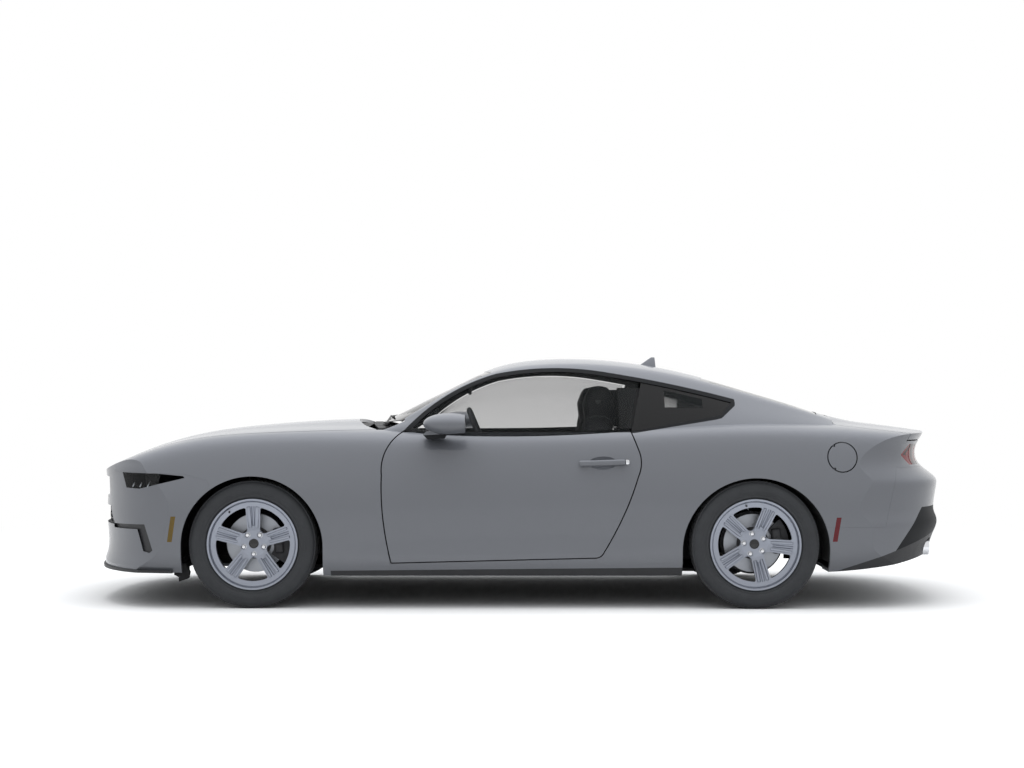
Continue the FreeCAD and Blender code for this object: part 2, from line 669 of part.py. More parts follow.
def fuel_pin_line(body):
    """Ends of the fuel door's pin, just under the skin."""
    x = FUEL_X - FUEL_HINGE
    reach = math.sqrt((FUEL_DOOR_R + PANEL_GAP + FUEL_CUP_T - 3) ** 2 - FUEL_HINGE ** 2)
    y = body.skin_y(x, FUEL_Z) - FUEL_PIN_DEPTH
    slope = (body.skin_y(x, FUEL_Z + 50) - body.skin_y(x, FUEL_Z - 50)) / 100
    return ((x, -(y - slope * reach), FUEL_Z - reach), (x, -(y + slope * reach), FUEL_Z + reach))


def build_panels(body):
    parts = {}
    g = PANEL_GAP / 2
    hood_zone = through_z(grown(HOOD, g), 500, 1500)
    trunk_zone = through_z(grown(TRUNK, g), TRUNK_LIP_Z - g, 1500).fuse(
        box(TAIL - 300, TAIL + 300, -TRUNK_DROP_HALF - g, TRUNK_DROP_HALF + g,
            TRUNK_DROP_Z - g, TRUNK_LIP_Z + g + 20))
    door_zone = through_y(grown(DOOR, g), -BIG, -HALF + DOOR_DEPTH + 110)
    door_zones = [door_zone, mirrored(door_zone)]
    fascia_zone = through_y(grown(FASCIA_SEAM, 0.5), -BIG, BIG)
    rear_zone = through_y(grown(REAR_SEAM, 0.5), -BIG, BIG)
    cowl_zone = through_z(COWL, 850, 1500)
    skirt_zone = through_y(SKIRT, -BIG, -FLOOR_HALF)
    skirt_zones = [skirt_zone, mirrored(skirt_zone)]
    diffuser_zone = through_y(DIFFUSER, -BIG, BIG)
    shell = body.lower_shell

    arms = hood_arm()
    parts["hood"] = largest(body.panel(through_z(grown(HOOD, -g - HOOD_ROOM), 500, 1500),
                                       [arms, mirrored(arms)]))
    lid_zone = through_z(grown(TRUNK, -g), TRUNK_LIP_Z + g, 1500).fuse(
        box(TAIL - 299, TAIL + 299, -TRUNK_DROP_HALF + g, TRUNK_DROP_HALF - g,
            TRUNK_DROP_Z + g, TRUNK_LIP_Z + g + 20))
    arms = trunk_arm()
    lid_zone = lid_zone.common(lid_zone.translated(V(LID_FRONT_ROOM, 0, 0)))
    lid = largest(body.panel(lid_zone, [arms, mirrored(arms)]))
    hem_zone = through_z(plan_wire((ra(440), -700), (ra(440), 700), (ra(535), 700),
                                   (ra(535), -700)), 850, 1500)
    hem_zone = hem_zone.cut([box(-BIG, BIG, s * TRUNK_PIN_Y - ARM_T, s * TRUNK_PIN_Y + ARM_T,
                                 0, BIG) for s in (-1, 1)])
    parts["trunk_lid"] = largest(lid.cut(hem_zone.common(body.hem)))

    lamp = through_y(lamp_outline(), -BIG, -LAMP_IN_Y)
    lamps = [lamp, mirrored(lamp)]
    parts["headlamps"] = both(largest(shell.common(lamp).cut(hood_zone)))
    marker_f = through_y(marker_outline(fa(-457), 360, 499, 22), -BIG, -700)
    marker_r = through_y(marker_outline(ra(414), 363, 494, 20), -BIG, -700)
    markers = [marker_f, marker_r, mirrored(marker_f), mirrored(marker_r)]
    parts["side_markers"] = Part.Compound(
        [largest(body.lower.common(m).cut(body.hem)) for m in markers])
    pockets = list(parts["side_markers"].Solids)
    vent = through_y(CORNER_VENT, -BIG, -VENT_IN_Y)
    vents = [vent, mirrored(vent)]

    parts["front_bumper"] = largest(shell.common(through_y(FASCIA_SEAM, -BIG, BIG)).cut(
        [hood_zone] + grille_holes() + vents + lamps + pockets + skirt_zones))
    parts["grille"] = build_grille(body, hood_zone)
    tips = [rod((ra(740), s * TIP_Y, TIP_Z), (TAIL + 60, s * TIP_Y, TIP_Z), TIP_R + 6)
            for s in (-1, 1)]
    under_rear = box(ra(0), ra(414), -WHEELHOUSE_REAR_Y, WHEELHOUSE_REAR_Y, 90, 300)
    plate = [rod((TAIL - 120, s * PLATE_SPACING / 2, PLATE_Z),
                 (TAIL + 60, s * PLATE_SPACING / 2, PLATE_Z), PLATE_HOLE_R) for s in (-1, 1)]
    parts["rear_bumper"] = largest(shell.common(through_y(REAR_SEAM, -BIG, BIG)).cut(
        [trunk_zone, diffuser_zone, under_rear] + pockets + skirt_zones + tips + plate))
    parts["rear_diffuser"] = largest(shell.common(diffuser_zone).common(
        through_y(REAR_SEAM, -BIG, BIG)).cut(tips))
    cowl_form = trimmed(lower_form(COWL_DEPTH), COWL_DEPTH)
    cowl_under = trimmed(lower_form(COWL_DEPTH + 12), COWL_DEPTH + 12)
    slots = [box(fa(500), fa(720), s * HOOD_PIN_Y - 14, s * HOOD_PIN_Y + 14, 800, BIG)
             for s in (-1, 1)]
    cowl = cowl_form.cut(cowl_under).common(cowl_zone).cut(slots + [body.upper])
    parts["cowl_panel"] = Part.Compound([c for c in cowl.Solids if c.Volume > 2e4])

    rear_limit = side_wire((fa(-900), 150), (fa(760), 150), (fa(735), 300), (fa(730), 600),
                           (fa(760), BELT_Z - 60), (fa(845), BELT_Z + 60), (fa(-900), 1100))
    fender = shell.common(through_y(rear_limit, -BIG, -400)).cut(
        [hood_zone, fascia_zone, door_zone, cowl_zone, lamp, skirt_zone])
    fender = fender.cut(box(fa(-900), fa(900), -FLOOR_HALF, 0, 100, 260))
    hem = through_y(grown(DOOR, 40), -BIG, 0).common(box(fa(600), fa(760), -BIG, 0, 240, 900))
    parts["front_fenders"] = both(largest(fender.cut(hem.common(body.hem))))
    parts["side_skirts"] = both(largest(shell.common(skirt_zone)))

    day = through_y(DAYLIGHT, -BIG, -380)
    days = [day, mirrored(day)]
    parts["roof_panel"] = largest(body.shell.common(through_z(grown(ROOF, -0.2), 1100, 1600)))
    cup_line = (FUEL_X, -BIG, FUEL_Z), (FUEL_X, -HALF + 150, FUEL_Z)
    pin_a, pin_b = fuel_pin_line(body)
    fuel_axis = (V(*pin_b) - V(*pin_a)).normalize()
    fuel_bore = rod(V(*pin_a) - fuel_axis, V(*pin_b) + fuel_axis, FUEL_PIN_R + SEAT_GAP)
    sill_hem = body.hem.common(box(fa(690), fa(780), -BIG, -DOOR_CARD_Y - 60, 225, 330))
    frame = body.shell.cut([
        hood_zone, trunk_zone, fascia_zone, rear_zone, cowl_zone,
        through_z(grown(ROOF, 0.2), 1100, 1600), through_z(WINDSHIELD, 900, 1600),
        through_z(BACKLIGHT, 930, 1600), fuel_bore,
        box(-BIG, BIG, -FLOOR_HALF, FLOOR_HALF, 100, 300),
        through_y(grown(rear_limit, 0.5), -BIG, BIG).common(body.lower.cut(body.upper)),
        rod(*cup_line, FUEL_DOOR_R + g),
        rod(*cup_line, FUEL_DOOR_R + 35).common(body.hem), sill_hem, mirrored(sill_hem),
    ] + days + door_zones + skirt_zones + pockets)
    frame = largest(frame)
    post = largest(body.room_band.common(through_y(side_wire(*B_POST), -BIG, -380)))
    frame = frame.fuse([post, mirrored(post)])
    cup = rod(*cup_line, FUEL_DOOR_R + PANEL_GAP + FUEL_CUP_T).common(body.hem).common(
        box(-BIG, BIG, -BIG, -HALF + 22 + FUEL_CUP_DEPTH, 0, BIG))
    cup = cup.cut(rod((FUEL_X, -BIG, FUEL_Z), (FUEL_X, -HALF + 16 + FUEL_CUP_DEPTH, FUEL_Z),
                      FUEL_DOOR_R + PANEL_GAP))
    parts["body_frame"] = Part.Compound(frame.Solids + [largest(cup.cut(fuel_bore))])
    pin_x, pin_y = FUEL_X - FUEL_HINGE, -0.5 * (pin_a[1] + pin_b[1])
    lug = box(pin_x - 5, pin_x + 5, -BIG, -pin_y + 4, FUEL_Z - 48, FUEL_Z + 48)
    flap = body.lower.common(rod(*cup_line, FUEL_DOOR_R - g)).cut(body.hem.cut(lug))
    flap = flap.common(box(-BIG, BIG, -BIG, -pin_y + 30, 0, BIG))
    flap = flap.cut([box(pin_x - 40, pin_x + 10, -BIG, 0, z0, z0 + 40)
                     for z0 in (FUEL_Z - 96, FUEL_Z + 56)])
    parts["fuel_door"] = largest(largest(flap).fuse(rod(pin_a, pin_b, FUEL_PIN_R)))

    parts["windshield"] = largest(body.glass.common(through_z(WINDSHIELD, 940, 1600)).cut(
        [body.lower]))
    parts["rear_window"] = largest(body.glass.common(through_z(BACKLIGHT, 940, 1600)).cut(
        [body.lower]))
    side_glass = body.glass.common(day)
    gap = PANEL_GAP - 1
    front_pane = through_y(grown(DAYLIGHT, -gap), -BIG, -380).fuse(
        through_y(side_wire((fa(880), BELT_Z - 40), (ra(-690), BELT_Z - 40),
                            (ra(-690), BELT_Z + 20), (fa(880), BELT_Z + 20)), -BIG, -380))
    front_side = through_y(side_wire((fa(400), 800), (ra(-684), 800), (ra(-678), BELT_Z),
                                     (ra(-600), BELT_Z + 320), (fa(400), BELT_Z + 320)),
                           -BIG, 0)
    rear_side = through_y(side_wire((ra(-664), 800), (ra(-664), BELT_Z),
                                    (ra(-586), BELT_Z + 320), (ra(200), BELT_Z + 320),
                                    (ra(200), 800)), -BIG, 0)
    parts["door_glass_left"] = largest(body.glass.common(front_pane).common(front_side).cut(
        body.lower))
    parts["quarter_windows"] = both(largest(side_glass.common(rear_side).cut(body.lower)))
    lamp_zone = through_y(TAIL_LAMP, -BIG, -TRUNK_DROP_HALF - 12)
    grooves = [box(TAIL - 330, TAIL + 60, -y - 5, -y + 5, 700, 900).cut(body.hem)
               for y in LAMP_GROOVES_Y]
    parts["tail_lamps"] = both(largest(shell.common(lamp_zone).cut(
        [trunk_zone, rear_zone] + grooves)))
    parts["body_frame"] = parts["body_frame"].cut([lamp_zone, mirrored(lamp_zone)])
    return parts

# ---------------------------------------------------------------- doors' small pieces
def build_handle(body):
    """Pull handle that follows the door's surface, on two feet."""
    blade = side_wire((fa(1770), 768), (ra(-722), 800), ((ra(-690), 808), (ra(-694), 784)),
                      (fa(1776), 748))
    blade = through_y(blade, -BIG, 0)
    grip = body.bulge.common(blade)
    feet = []
    for x in (fa(1790), ra(-716)):
        z = 770 + 14 * (x > 0.5 * (AXLE_F + AXLE_R)) + 8
        foot = box(x - 14, x + 14, -BIG, -HALF + 90, z - 12, z + 8)
        feet.append(foot.common(body.bulge_foot))
    return largest(grip.fuse(feet))


def build_mirror():
    """Door mirror: rounded cap with a glass recess, on a stalk from the door's shoulder."""
    x, y, z = MIRROR
    cap, pocket = [
        Part.makeSphere(1.0).transformGeometry(FreeCAD.Matrix(
            146 * k, 0, 0, x, 0, 104 * k, 0, -y, 0, 0, 59 * k, z, 0, 0, 0, 1))
        for k in (1.0, 0.9)]
    back = x + 79
    cap = cap.common(box(x - 200, back, -BIG, 0, 0, BIG))
    cap = cap.cut(pocket.common(box(back - 5, back + 50, -BIG, 0, 0, BIG)))
    stalk = side_wire((x - 148, z - 58), (x - 122, z - 84), (x - 34, z - 80), (x - 12, z - 40),
                      (x - 130, z - 40))
    return cap.fuse(through_y(stalk, -HALF - 22, -HALF + 95))


# ---------------------------------------------------------------- wheels
def tyre_profile():
    w = TYRE_W / 2
    half = [(w - 20, RIM_SEAT_R), (w - 20, RIM_SEAT_R + 14), (w - 5, RIM_SEAT_R + 34),
            (w, RIM_SEAT_R + 56), (w - 5, TYRE_R - 26), (w - 17, TYRE_R - 9),
            (w - 32, TYRE_R - 2), (0.35 * w, TYRE_R)]
    return [(-y, r) for y, r in half] + list(reversed(half))


def spoke_window(x, z, angle):
    """Opening between two spokes, narrower towards the hub. angle is its middle."""
    step = math.pi / SPOKES

    def at(radius, half_spoke, turn):
        a = angle + turn * (step - math.asin(half_spoke / radius))
        return x + radius * math.cos(a), z + radius * math.sin(a)

    inner, outer = HUB_R + 6, WINDOW_R
    mid_in = at(inner - 9, 0, 0)
    mid_out = at(outer, 0, 0)
    wire = side_wire(at(outer, SPOKE_HALF, -1), (mid_out, at(outer, SPOKE_HALF, 1)),
                     at(inner, SPOKE_HALF - 6, 1), (mid_in, at(inner, SPOKE_HALF - 6, -1)))
    window = through_y(wire, -BIG / 2, BIG / 2)
    uprights = [e for e in window.Edges
                if abs(e.Vertexes[0].Y - e.Vertexes[-1].Y) > BIG / 2]
    return window.makeFillet(WINDOW_FILLET, uprights)


def build_wheel(x, y, z, side, phase):
    """Tyre, rim with dished twin-rib spokes, and brake disc. side is -1 on the left."""
    tyre = revolved([(y + dy, r) for dy, r in tyre_profile()], x, z)
    lip, seat = RIM_R, RIM_SEAT_R - SEAT_GAP
    w = RIM_HALF
    barrel = [(-w, lip), (-w + 7, lip), (-w + 7, seat), (w - 7, seat), (w - 7, lip), (w, lip),
              (w - 2, lip - 10), (w - 30, seat - 14), (-w + 60, seat - 16),
              (-w + 2, lip - 8)]
    rim = revolved([(y + side * dy, r) for dy, r in barrel], x, z)
    face = HUB_FACE + HUB_T
    dish = [(HUB_FACE, 0), (HUB_FACE, HUB_R), (HUB_FACE + 16, HUB_R + 22),
            (w - 46, WINDOW_R + 6), (w - 40, seat - 7), (w - 19, seat - 7),
            (w - 24, WINDOW_R), (face + 9, HUB_R + 14), (face, HUB_R - 6), (face, 0)]
    dish = revolved([(y + side * dy, r) for dy, r in dish], x, z)
    cuts = []
    for i in range(SPOKES):
        spoke = phase + 2 * math.pi / SPOKES * i
        between = spoke + math.pi / SPOKES
        cuts.append(spoke_window(x, z, between))
        c, s = math.cos(spoke), math.sin(spoke)
        r0, r1 = HUB_R + 20, WINDOW_R + 4
        cuts.append(rod((x + r0 * c, y + side * (face + 11), z + r0 * s),
                        (x + r1 * c, y + side * (w - 23), z + r1 * s), GROOVE_R))
        c, s = math.cos(between), math.sin(between)
        cuts.append(cylinder_y(x + LUG_RING_R * c, z + LUG_RING_R * s, LUG_POCKET_R,
                               y + side * (face - 9), y + side * (face + 60)))
    cuts += [cylinder_y(x, z, CAP_R, y + side * (face - 4), y + side * (face + 60)),
             cylinder_y(x, z, SPINDLE_R + SEAT_GAP, y + side * (HUB_FACE - 1),
                        y + side * (HUB_FACE + 17))]
    rim = rim.fuse(dish).cut(cuts)
    face = y + side * HUB_FACE
    inner = y + side * (HUB_FACE - HAT_DEPTH)
    disc = revolved([(face, SPINDLE_R + SEAT_GAP), (face, HAT_R), (inner, HAT_R),
                     (inner, DISC_R), (inner - side * DISC_T, DISC_R),
                     (inner - side * DISC_T, HAT_R - 10), (face - side * 10, HAT_R - 10),
                     (face - side * 10, SPINDLE_R + SEAT_GAP)], x, z)
    return tyre, largest(rim), disc


def hub_carrier(x, y, z, side, caliper_from):
    """Spindle, carrier and brake caliper. The caliper wraps the disc's rearward edge."""
    face = y + side * HUB_FACE
    disc_in = y + side * (HUB_FACE - HAT_DEPTH) - side * DISC_T
    back = disc_in - side * 12
    spindle = cylinder_y(x, z, SPINDLE_R, face + side * 15, back)
    flange = cylinder_y(x, z, CARRIER_R, back, back - side * 38)
    r0, r1 = DISC_R - 52, DISC_R + 34
    out, inb = disc_in + side * (DISC_T + 24), disc_in - side * 30
    ring = revolved([(out, r0), (out, r1), (inb, r1), (inb, r0)], x, z)
    groove = revolved([(disc_in + side * (DISC_T + 5), r0 - 5), (disc_in + side * (DISC_T + 5),
                       DISC_R + 7), (disc_in - side * 5, DISC_R + 7),
                       (disc_in - side * 5, r0 - 5)], x, z)
    wedge = Part.makePolygon([V(x, 0, z), V(x + 300, 0, z - 125), V(x + 300, 0, z + 125),
                              V(x, 0, z)])
    wedge = Part.Face(wedge)
    wedge.translate(V(0, -BIG, 0))
    wedge = wedge.extrude(V(0, 2 * BIG, 0)).rotated(V(x, 0, z), V(0, 1, 0), caliper_from)
    caliper = ring.cut(groove).common(wedge)
    bracket = box(x + 30, x + r0 + 20, min(back, back - side * 18), max(back, back - side * 18),
                  z - 26, z + 26).rotated(V(x, 0, z), V(0, 1, 0), caliper_from)
    return largest(spindle.fuse([flange, caliper, bracket]))


def kingpin(z):
    """Half-width of the steering axis at one height."""
    (y0, z0), (y1, z1) = KINGPIN_LOW, KINGPIN_TOP
    return y0 + (y1 - y0) * (z - z0) / (z1 - z0)


def on_kingpin(z0, z1, r):
    return rod((AXLE_F, -kingpin(z0), z0), (AXLE_F, -kingpin(z1), z1), r)


def build_front_knuckle():
    """Left steering knuckle: carrier with an upright bored for the ball pins."""
    y = -TRACK_FRONT / 2
    carrier = hub_carrier(AXLE_F, y, WHEEL_Z, -1, 12)
    upright = on_kingpin(KNUCKLE_LOW_Z, KNUCKLE_TOP_Z, 30)
    clear = box(AXLE_F - 90, AXLE_F + 90, -BIG, y + HAT_DEPTH + 18, 0, BIG)
    upright = upright.cut(clear)
    bores = [on_kingpin(KNUCKLE_LOW_Z - 20, KNUCKLE_LOW_Z + 30, BALL_R + SEAT_GAP),
             on_kingpin(KNUCKLE_TOP_Z - 30, KNUCKLE_TOP_Z + 20, BALL_R + SEAT_GAP)]
    return largest(carrier.fuse(upright).cut(bores))


def build_front_suspension():
    """Crossmember, lower arms and struts. The struts stand on the steering axes."""
    cross = box(AXLE_F - 70, AXLE_F + 90, -430, 430, 205, 262)
    rails = [box(NOSE + 330, fa(562), s * 421 - 28, s * 421 + 28, 262, 350) for s in (-1, 1)]
    pieces = []
    for s in (-1, 1):
        low_y = kingpin(205)
        arm = Part.Face(Part.makePolygon([V(AXLE_F - 26, -low_y - 20, 206),
            V(AXLE_F + 26, -low_y - 20, 206), V(AXLE_F + 90, -430, 206),
            V(AXLE_F - 60, -430, 206), V(AXLE_F - 26, -low_y - 20, 206)]))
        arm = arm.extrude(V(0, 0, 18))
        pin = on_kingpin(210, KNUCKLE_LOW_Z + 28, BALL_R)
        collar = on_kingpin(220, KNUCKLE_LOW_Z - 1, BALL_R + 8)
        strut = on_kingpin(KNUCKLE_TOP_Z + 1, 800, STRUT_R).fuse(
            [on_kingpin(KNUCKLE_TOP_Z - 28, KNUCKLE_TOP_Z + 10, BALL_R),
             on_kingpin(642, 654, 54), on_kingpin(654, 840, 44)])
        wall_y = WHEELHOUSE_FRONT_Y - LINER_T
        tower = box(AXLE_F - 80, AXLE_F + 80, -kingpin(840) - 60, -wall_y + 8, 836, 846)
        leg = box(AXLE_F - 80, AXLE_F + 80, -wall_y, -wall_y + 8, 340, 846)
        left = [arm.fuse([pin, collar]), strut, tower.fuse(leg)]
        pieces += left if s < 0 else [mirrored(p) for p in left]
    return cross.fuse(rails).fuse(pieces)


def build_rear_suspension():
    """Subframe, final drive, half-shafts and rear hub carriers with calipers."""
    y = TRACK_REAR / 2
    pieces = [box(AXLE_R - 160, AXLE_R - 90, -560, 560, 270, 340),
              box(AXLE_R + 90, AXLE_R + 150, -560, 560, 270, 340),
              box(AXLE_R - 150, AXLE_R + 150, -120, 120, 268, 410)]
    for s in (-1, 1):
        carrier = hub_carrier(AXLE_R, s * y, WHEEL_Z, s, -20)
        shaft = cylinder_y(AXLE_R, WHEEL_Z, 18, s * 118, s * (y + HUB_FACE - HAT_DEPTH - 60))
        link = box(AXLE_R - 120, AXLE_R + 120, min(s * 540, s * (y - 62)),
                   max(s * 540, s * (y - 62)), 262, 300)
        spring = rod((AXLE_R + 60, s * 600, 298), (AXLE_R + 60, s * 600, BOOT_Z), 45)
        pieces += [carrier, shaft, link, spring]
    return pieces[0].fuse(pieces[1:])


def build_liners(body):
    """Black wheelhouse liners, open outwards and cut for arms and shafts."""
    parts = []
    for x, z, r, inner in ((AXLE_F, WHEEL_Z, TYRE_R + STEER_ROOM, WHEELHOUSE_FRONT_Y),
                           (ARCH_REAR_X, ARCH_REAR_Z, ARCH_REAR_R, WHEELHOUSE_REAR_Y)):
        drum = cylinder_y(x, z, r + LINER_T, -BIG, -inner + LINER_T)
        drum = drum.cut(cylinder_y(x, z, r, -BIG, -inner))
        drum = drum.common(body.hollow).cut(
            [box(x - 185, x + 185, -inner - 1, -inner + LINER_T + 1, 0, 560),
             box(x - BIG, x + BIG, -BIG, 0, 0, 250),
             box(x - 85, x + 85, -inner - 1, -inner + LINER_T + 1, 0, BIG),
             on_kingpin(690, 900, 58)])
        part = largest(drum)
        parts += [part, mirrored(part)]
    flap = through_y(DEFLECTOR, -HALF + 100, -DEFLECTOR_IN_Y)
    sweep = box(fa(-393), fa(-300), -DEFLECTOR_OUT_Y, 0, 0, BIG)
    flap = largest(flap.cut([sweep, body.lower_shell]))
    return Part.Compound(parts + [flap, mirrored(flap)])


# ---------------------------------------------------------------- inside
def build_inner(body, ring):
    """Floor with tunnel, sills and posts, and the cross walls of the cabin."""
    floor = box(fa(60) + 2, ra(-178), -FLOOR_HALF + 1, FLOOR_HALF - 1, FLOOR_Z,
                FLOOR_Z + FLOOR_T)
    bore = TUNNEL_HALF - TUNNEL_T
    tunnel = box(fa(576), ra(-190), -TUNNEL_HALF, TUNNEL_HALF, FLOOR_Z, TUNNEL_Z).cut(
        box(fa(500), ra(-180), -bore, bore, 0, TUNNEL_Z - TUNNEL_T))
    floor = floor.cut([box(fa(576), ra(-190), -bore, bore, 0, 300)] + body.arches)
    pads = [box(x - JACK_PAD / 2, x + JACK_PAD / 2, s * JACK_Y - JACK_PAD / 2,
                s * JACK_Y + JACK_PAD / 2, FLOOR_Z - 12, FLOOR_Z)
            for x in JACK_XS for s in (-1, 1)]
    floor = floor.fuse([tunnel, ring, mirrored(ring)] + pads)
    firewall = box(fa(562), fa(576), -BIG, BIG, FLOOR_Z + FLOOR_T, 1000).common(body.hollow)
    under_cowl = trimmed(lower_form(COWL_DEPTH + 12), COWL_DEPTH + 12)
    above = body.hollow.cut(under_cowl).common(box(-BIG, BIG, -BIG, BIG, 700, BIG))
    brackets = [hood_bracket(), mirrored(hood_bracket())]
    notches = [box(fa(500), fa(600), s * HOOD_PIN_Y - 14, s * HOOD_PIN_Y + 14,
                   HOOD_PIN[1] - 40, BIG) for s in (-1, 1)]
    notches.append(box(fa(500), fa(600), -bore, bore, 0, TUNNEL_Z - TUNNEL_T))
    firewall = largest(firewall.cut([above] + notches)).fuse(brackets)
    shelf = box(ra(-190), ra(370), -BIG, BIG, SHELF_Z - 14, SHELF_Z).common(body.hollow)
    brackets = [trunk_bracket(), mirrored(trunk_bracket())]
    shelf = largest(shelf).fuse(brackets)
    wall_y = WHEELHOUSE_REAR_Y - LINER_T
    back = box(ra(-190), ra(-178), -wall_y, wall_y, FLOOR_Z + FLOOR_T, SHELF_Z - 14).cut(
        box(ra(-200), ra(-170), -bore, bore, 0, 300))
    boot = box(ra(-178), TAIL - 160, -wall_y, wall_y, BOOT_Z, BOOT_Z + 12)
    walls = [firewall, shelf, back, boot]
    return floor, walls


def placed(x, points):
    """Side outline with its points given behind one place x."""
    def moved(p):
        return (moved(p[0]), moved(p[1])) if isinstance(p[0], tuple) else (x + p[0], p[1])
    return side_wire(*[moved(p) for p in points])


def build_seats():
    """Front seats: cushion and reclined back with the headrest in one line."""
    parts = []
    cushion = placed(SEAT_X, ((10, 300), (540, 300), (550, 400), ((340, 430), (80, 470)),
                              ((20, 450), (0, 400))))
    back = placed(SEAT_X, ((430, 395), (555, 395), (660, 900), ((650, 1120), (610, 1205)),
                           ((560, 1225), (515, 1200)), ((535, 900), (470, 600))))
    for s in (-1, 1):
        y = s * SEAT_Y
        c = through_y(cushion, y - SEAT_WIDTH / 2, y + SEAT_WIDTH / 2)
        b = through_y(back, y - SEAT_WIDTH / 2 + 20, y + SEAT_WIDTH / 2 - 20)
        base = box(SEAT_X + 60, SEAT_X + 500, y - 180, y + 180, FLOOR_Z + FLOOR_T,
                   300 - SEAT_GAP)
        parts += [largest(c.cut(b)), b, base]
    return Part.Compound(parts)


def build_rear_seat():
    wall_x = ra(-190) - SEAT_GAP
    front_x = wall_x - 464
    cushion = placed(front_x, ((30, 300), (350, 300), (375, 420), ((210, 440), (30, 470)),
                               ((0, 440), (0, 380))))
    back = placed(wall_x, ((-104, 430), (0, 430), (0, 825), ((-9, 846), (-30, 855)),
                           (-60, 850), (-84, 640)))
    back = through_y(back, -560, 560)
    cushion = through_y(cushion, -560, 560).cut(
        [back, box(front_x - 50, BIG, -TUNNEL_HALF - 5, TUNNEL_HALF + 5, 0,
                   TUNNEL_Z + SEAT_GAP)])
    boxes = [box(front_x + 40, front_x + 340, min(s * 130, s * 500), max(s * 130, s * 500),
                 FLOOR_Z + FLOOR_T, 300) for s in (-1, 1)]
    return Part.Compound([whole(cushion.fuse(boxes)), back])


def build_dashboard():
    shape = side_wire((fa(576), 560), (fa(576), 905), ((fa(690), 950), (fa(850), 945)),
                      ((fa(960), 930), (fa(1000), 880)), (fa(985), 700), (fa(900), 560))
    dash = through_y(shape, -650, 650)
    console = box(fa(900), fa(1560), -TUNNEL_HALF, TUNNEL_HALF, TUNNEL_Z, 600)
    tilt = math.radians(COLUMN_TILT)
    ax = V(math.cos(tilt), 0, math.sin(tilt))
    start = STEERING_HUB - ax * 300
    column = Part.makeCylinder(38, 245, start, ax)
    stub = Part.makeCylinder(COLUMN_R, 290, start, ax)
    return dash.fuse([console, column, stub])


def build_steering_wheel():
    tilt = math.radians(COLUMN_TILT)
    ax = V(math.cos(tilt), 0, math.sin(tilt))
    ring = Part.makeTorus(STEERING_WHEEL_R, 15, STEERING_HUB, ax)
    hub = Part.makeCylinder(60, 50, STEERING_HUB - ax * 30, ax)
    side = V(0, 1, 0)
    upward = ax.cross(side)
    spokes = []
    for a in (0, 90, 180):
        turn = math.radians(a)
        d = side * math.cos(turn) + upward * math.sin(turn)
        spokes.append(Part.makeCylinder(13, STEERING_WHEEL_R - 40, STEERING_HUB + d * 40, d))
    wheel = ring.fuse([hub] + spokes)
    return wheel.cut(Part.makeCylinder(COLUMN_R + SEAT_GAP, 300, STEERING_HUB - ax * 300, ax))


def build_small(body):
    parts = {}
    band = upper_form(-6).cut(upper_form(GLASS_SET - SEAT_GAP))
    blades = []
    for y0, y1 in ((-620, -60), (-40, 500)):
        strip = plan_wire((fa(745), y0), (fa(762), y0), (fa(700), y1), (fa(683), y1))
        blade = band.common(through_z(strip, 900, 1300)).cut(body.lower)
        blades.append(largest(blade))
    parts["wipers"] = Part.Compound(blades)
    block = box(AXLE_F - 120, fa(520), -260, 260, 300, 840)
    block = block.makeFillet(40, block.Edges)
    parts["engine"] = block.fuse(box(AXLE_F - 40, AXLE_F + 60, -300, 300, 262, 330))
    muffler = box(ra(470), ra(690), -560, 560, 285, BOOT_Z - 20)
    hangers = [box(ra(560), ra(590), s * 400 - 10, s * 400 + 10, BOOT_Z - 30, BOOT_Z)
               for s in (-1, 1)]
    pipes = [bent_tube(PIPE_R, 90, (fa(480), 0, 252), (ra(-420), 0, 252), (ra(-180), 0, 228),
                       (ra(250), 0, 228), (ra(380), 0, 315), (ra(470), 0, 315))]
    pipes += [bent_tube(TIP_R, 110, (ra(690), s * 500, 335), (ra(760), s * 500, 335),
                        (ra(850), s * TIP_Y, TIP_Z), (TAIL - 140, s * TIP_Y, TIP_Z))
              for s in (-1, 1)]
    parts["exhaust"] = Part.Compound([muffler.fuse(hangers)] + pipes)
    fin_x = ra(-560)
    z = body.top_z(body.upper, fin_x + 40, 0)
    fin = side_wire((fin_x, z - 12), ((fin_x + 60, z + 10), (fin_x + 105, z + 22)),
                    (fin_x + 128, z + 22), (fin_x + 150, z - 16))
    parts["roof_antenna"] = largest(through_y(fin, -14, 14).cut(body.upper))
    lip = body.lower.common(box(NOSE - 10, fa(-425), -BIG, BIG, 214, 230))
    parts["front_splitter"] = largest(lip.translated(V(-10, 0, -26)).cut(body.lower))
    return parts


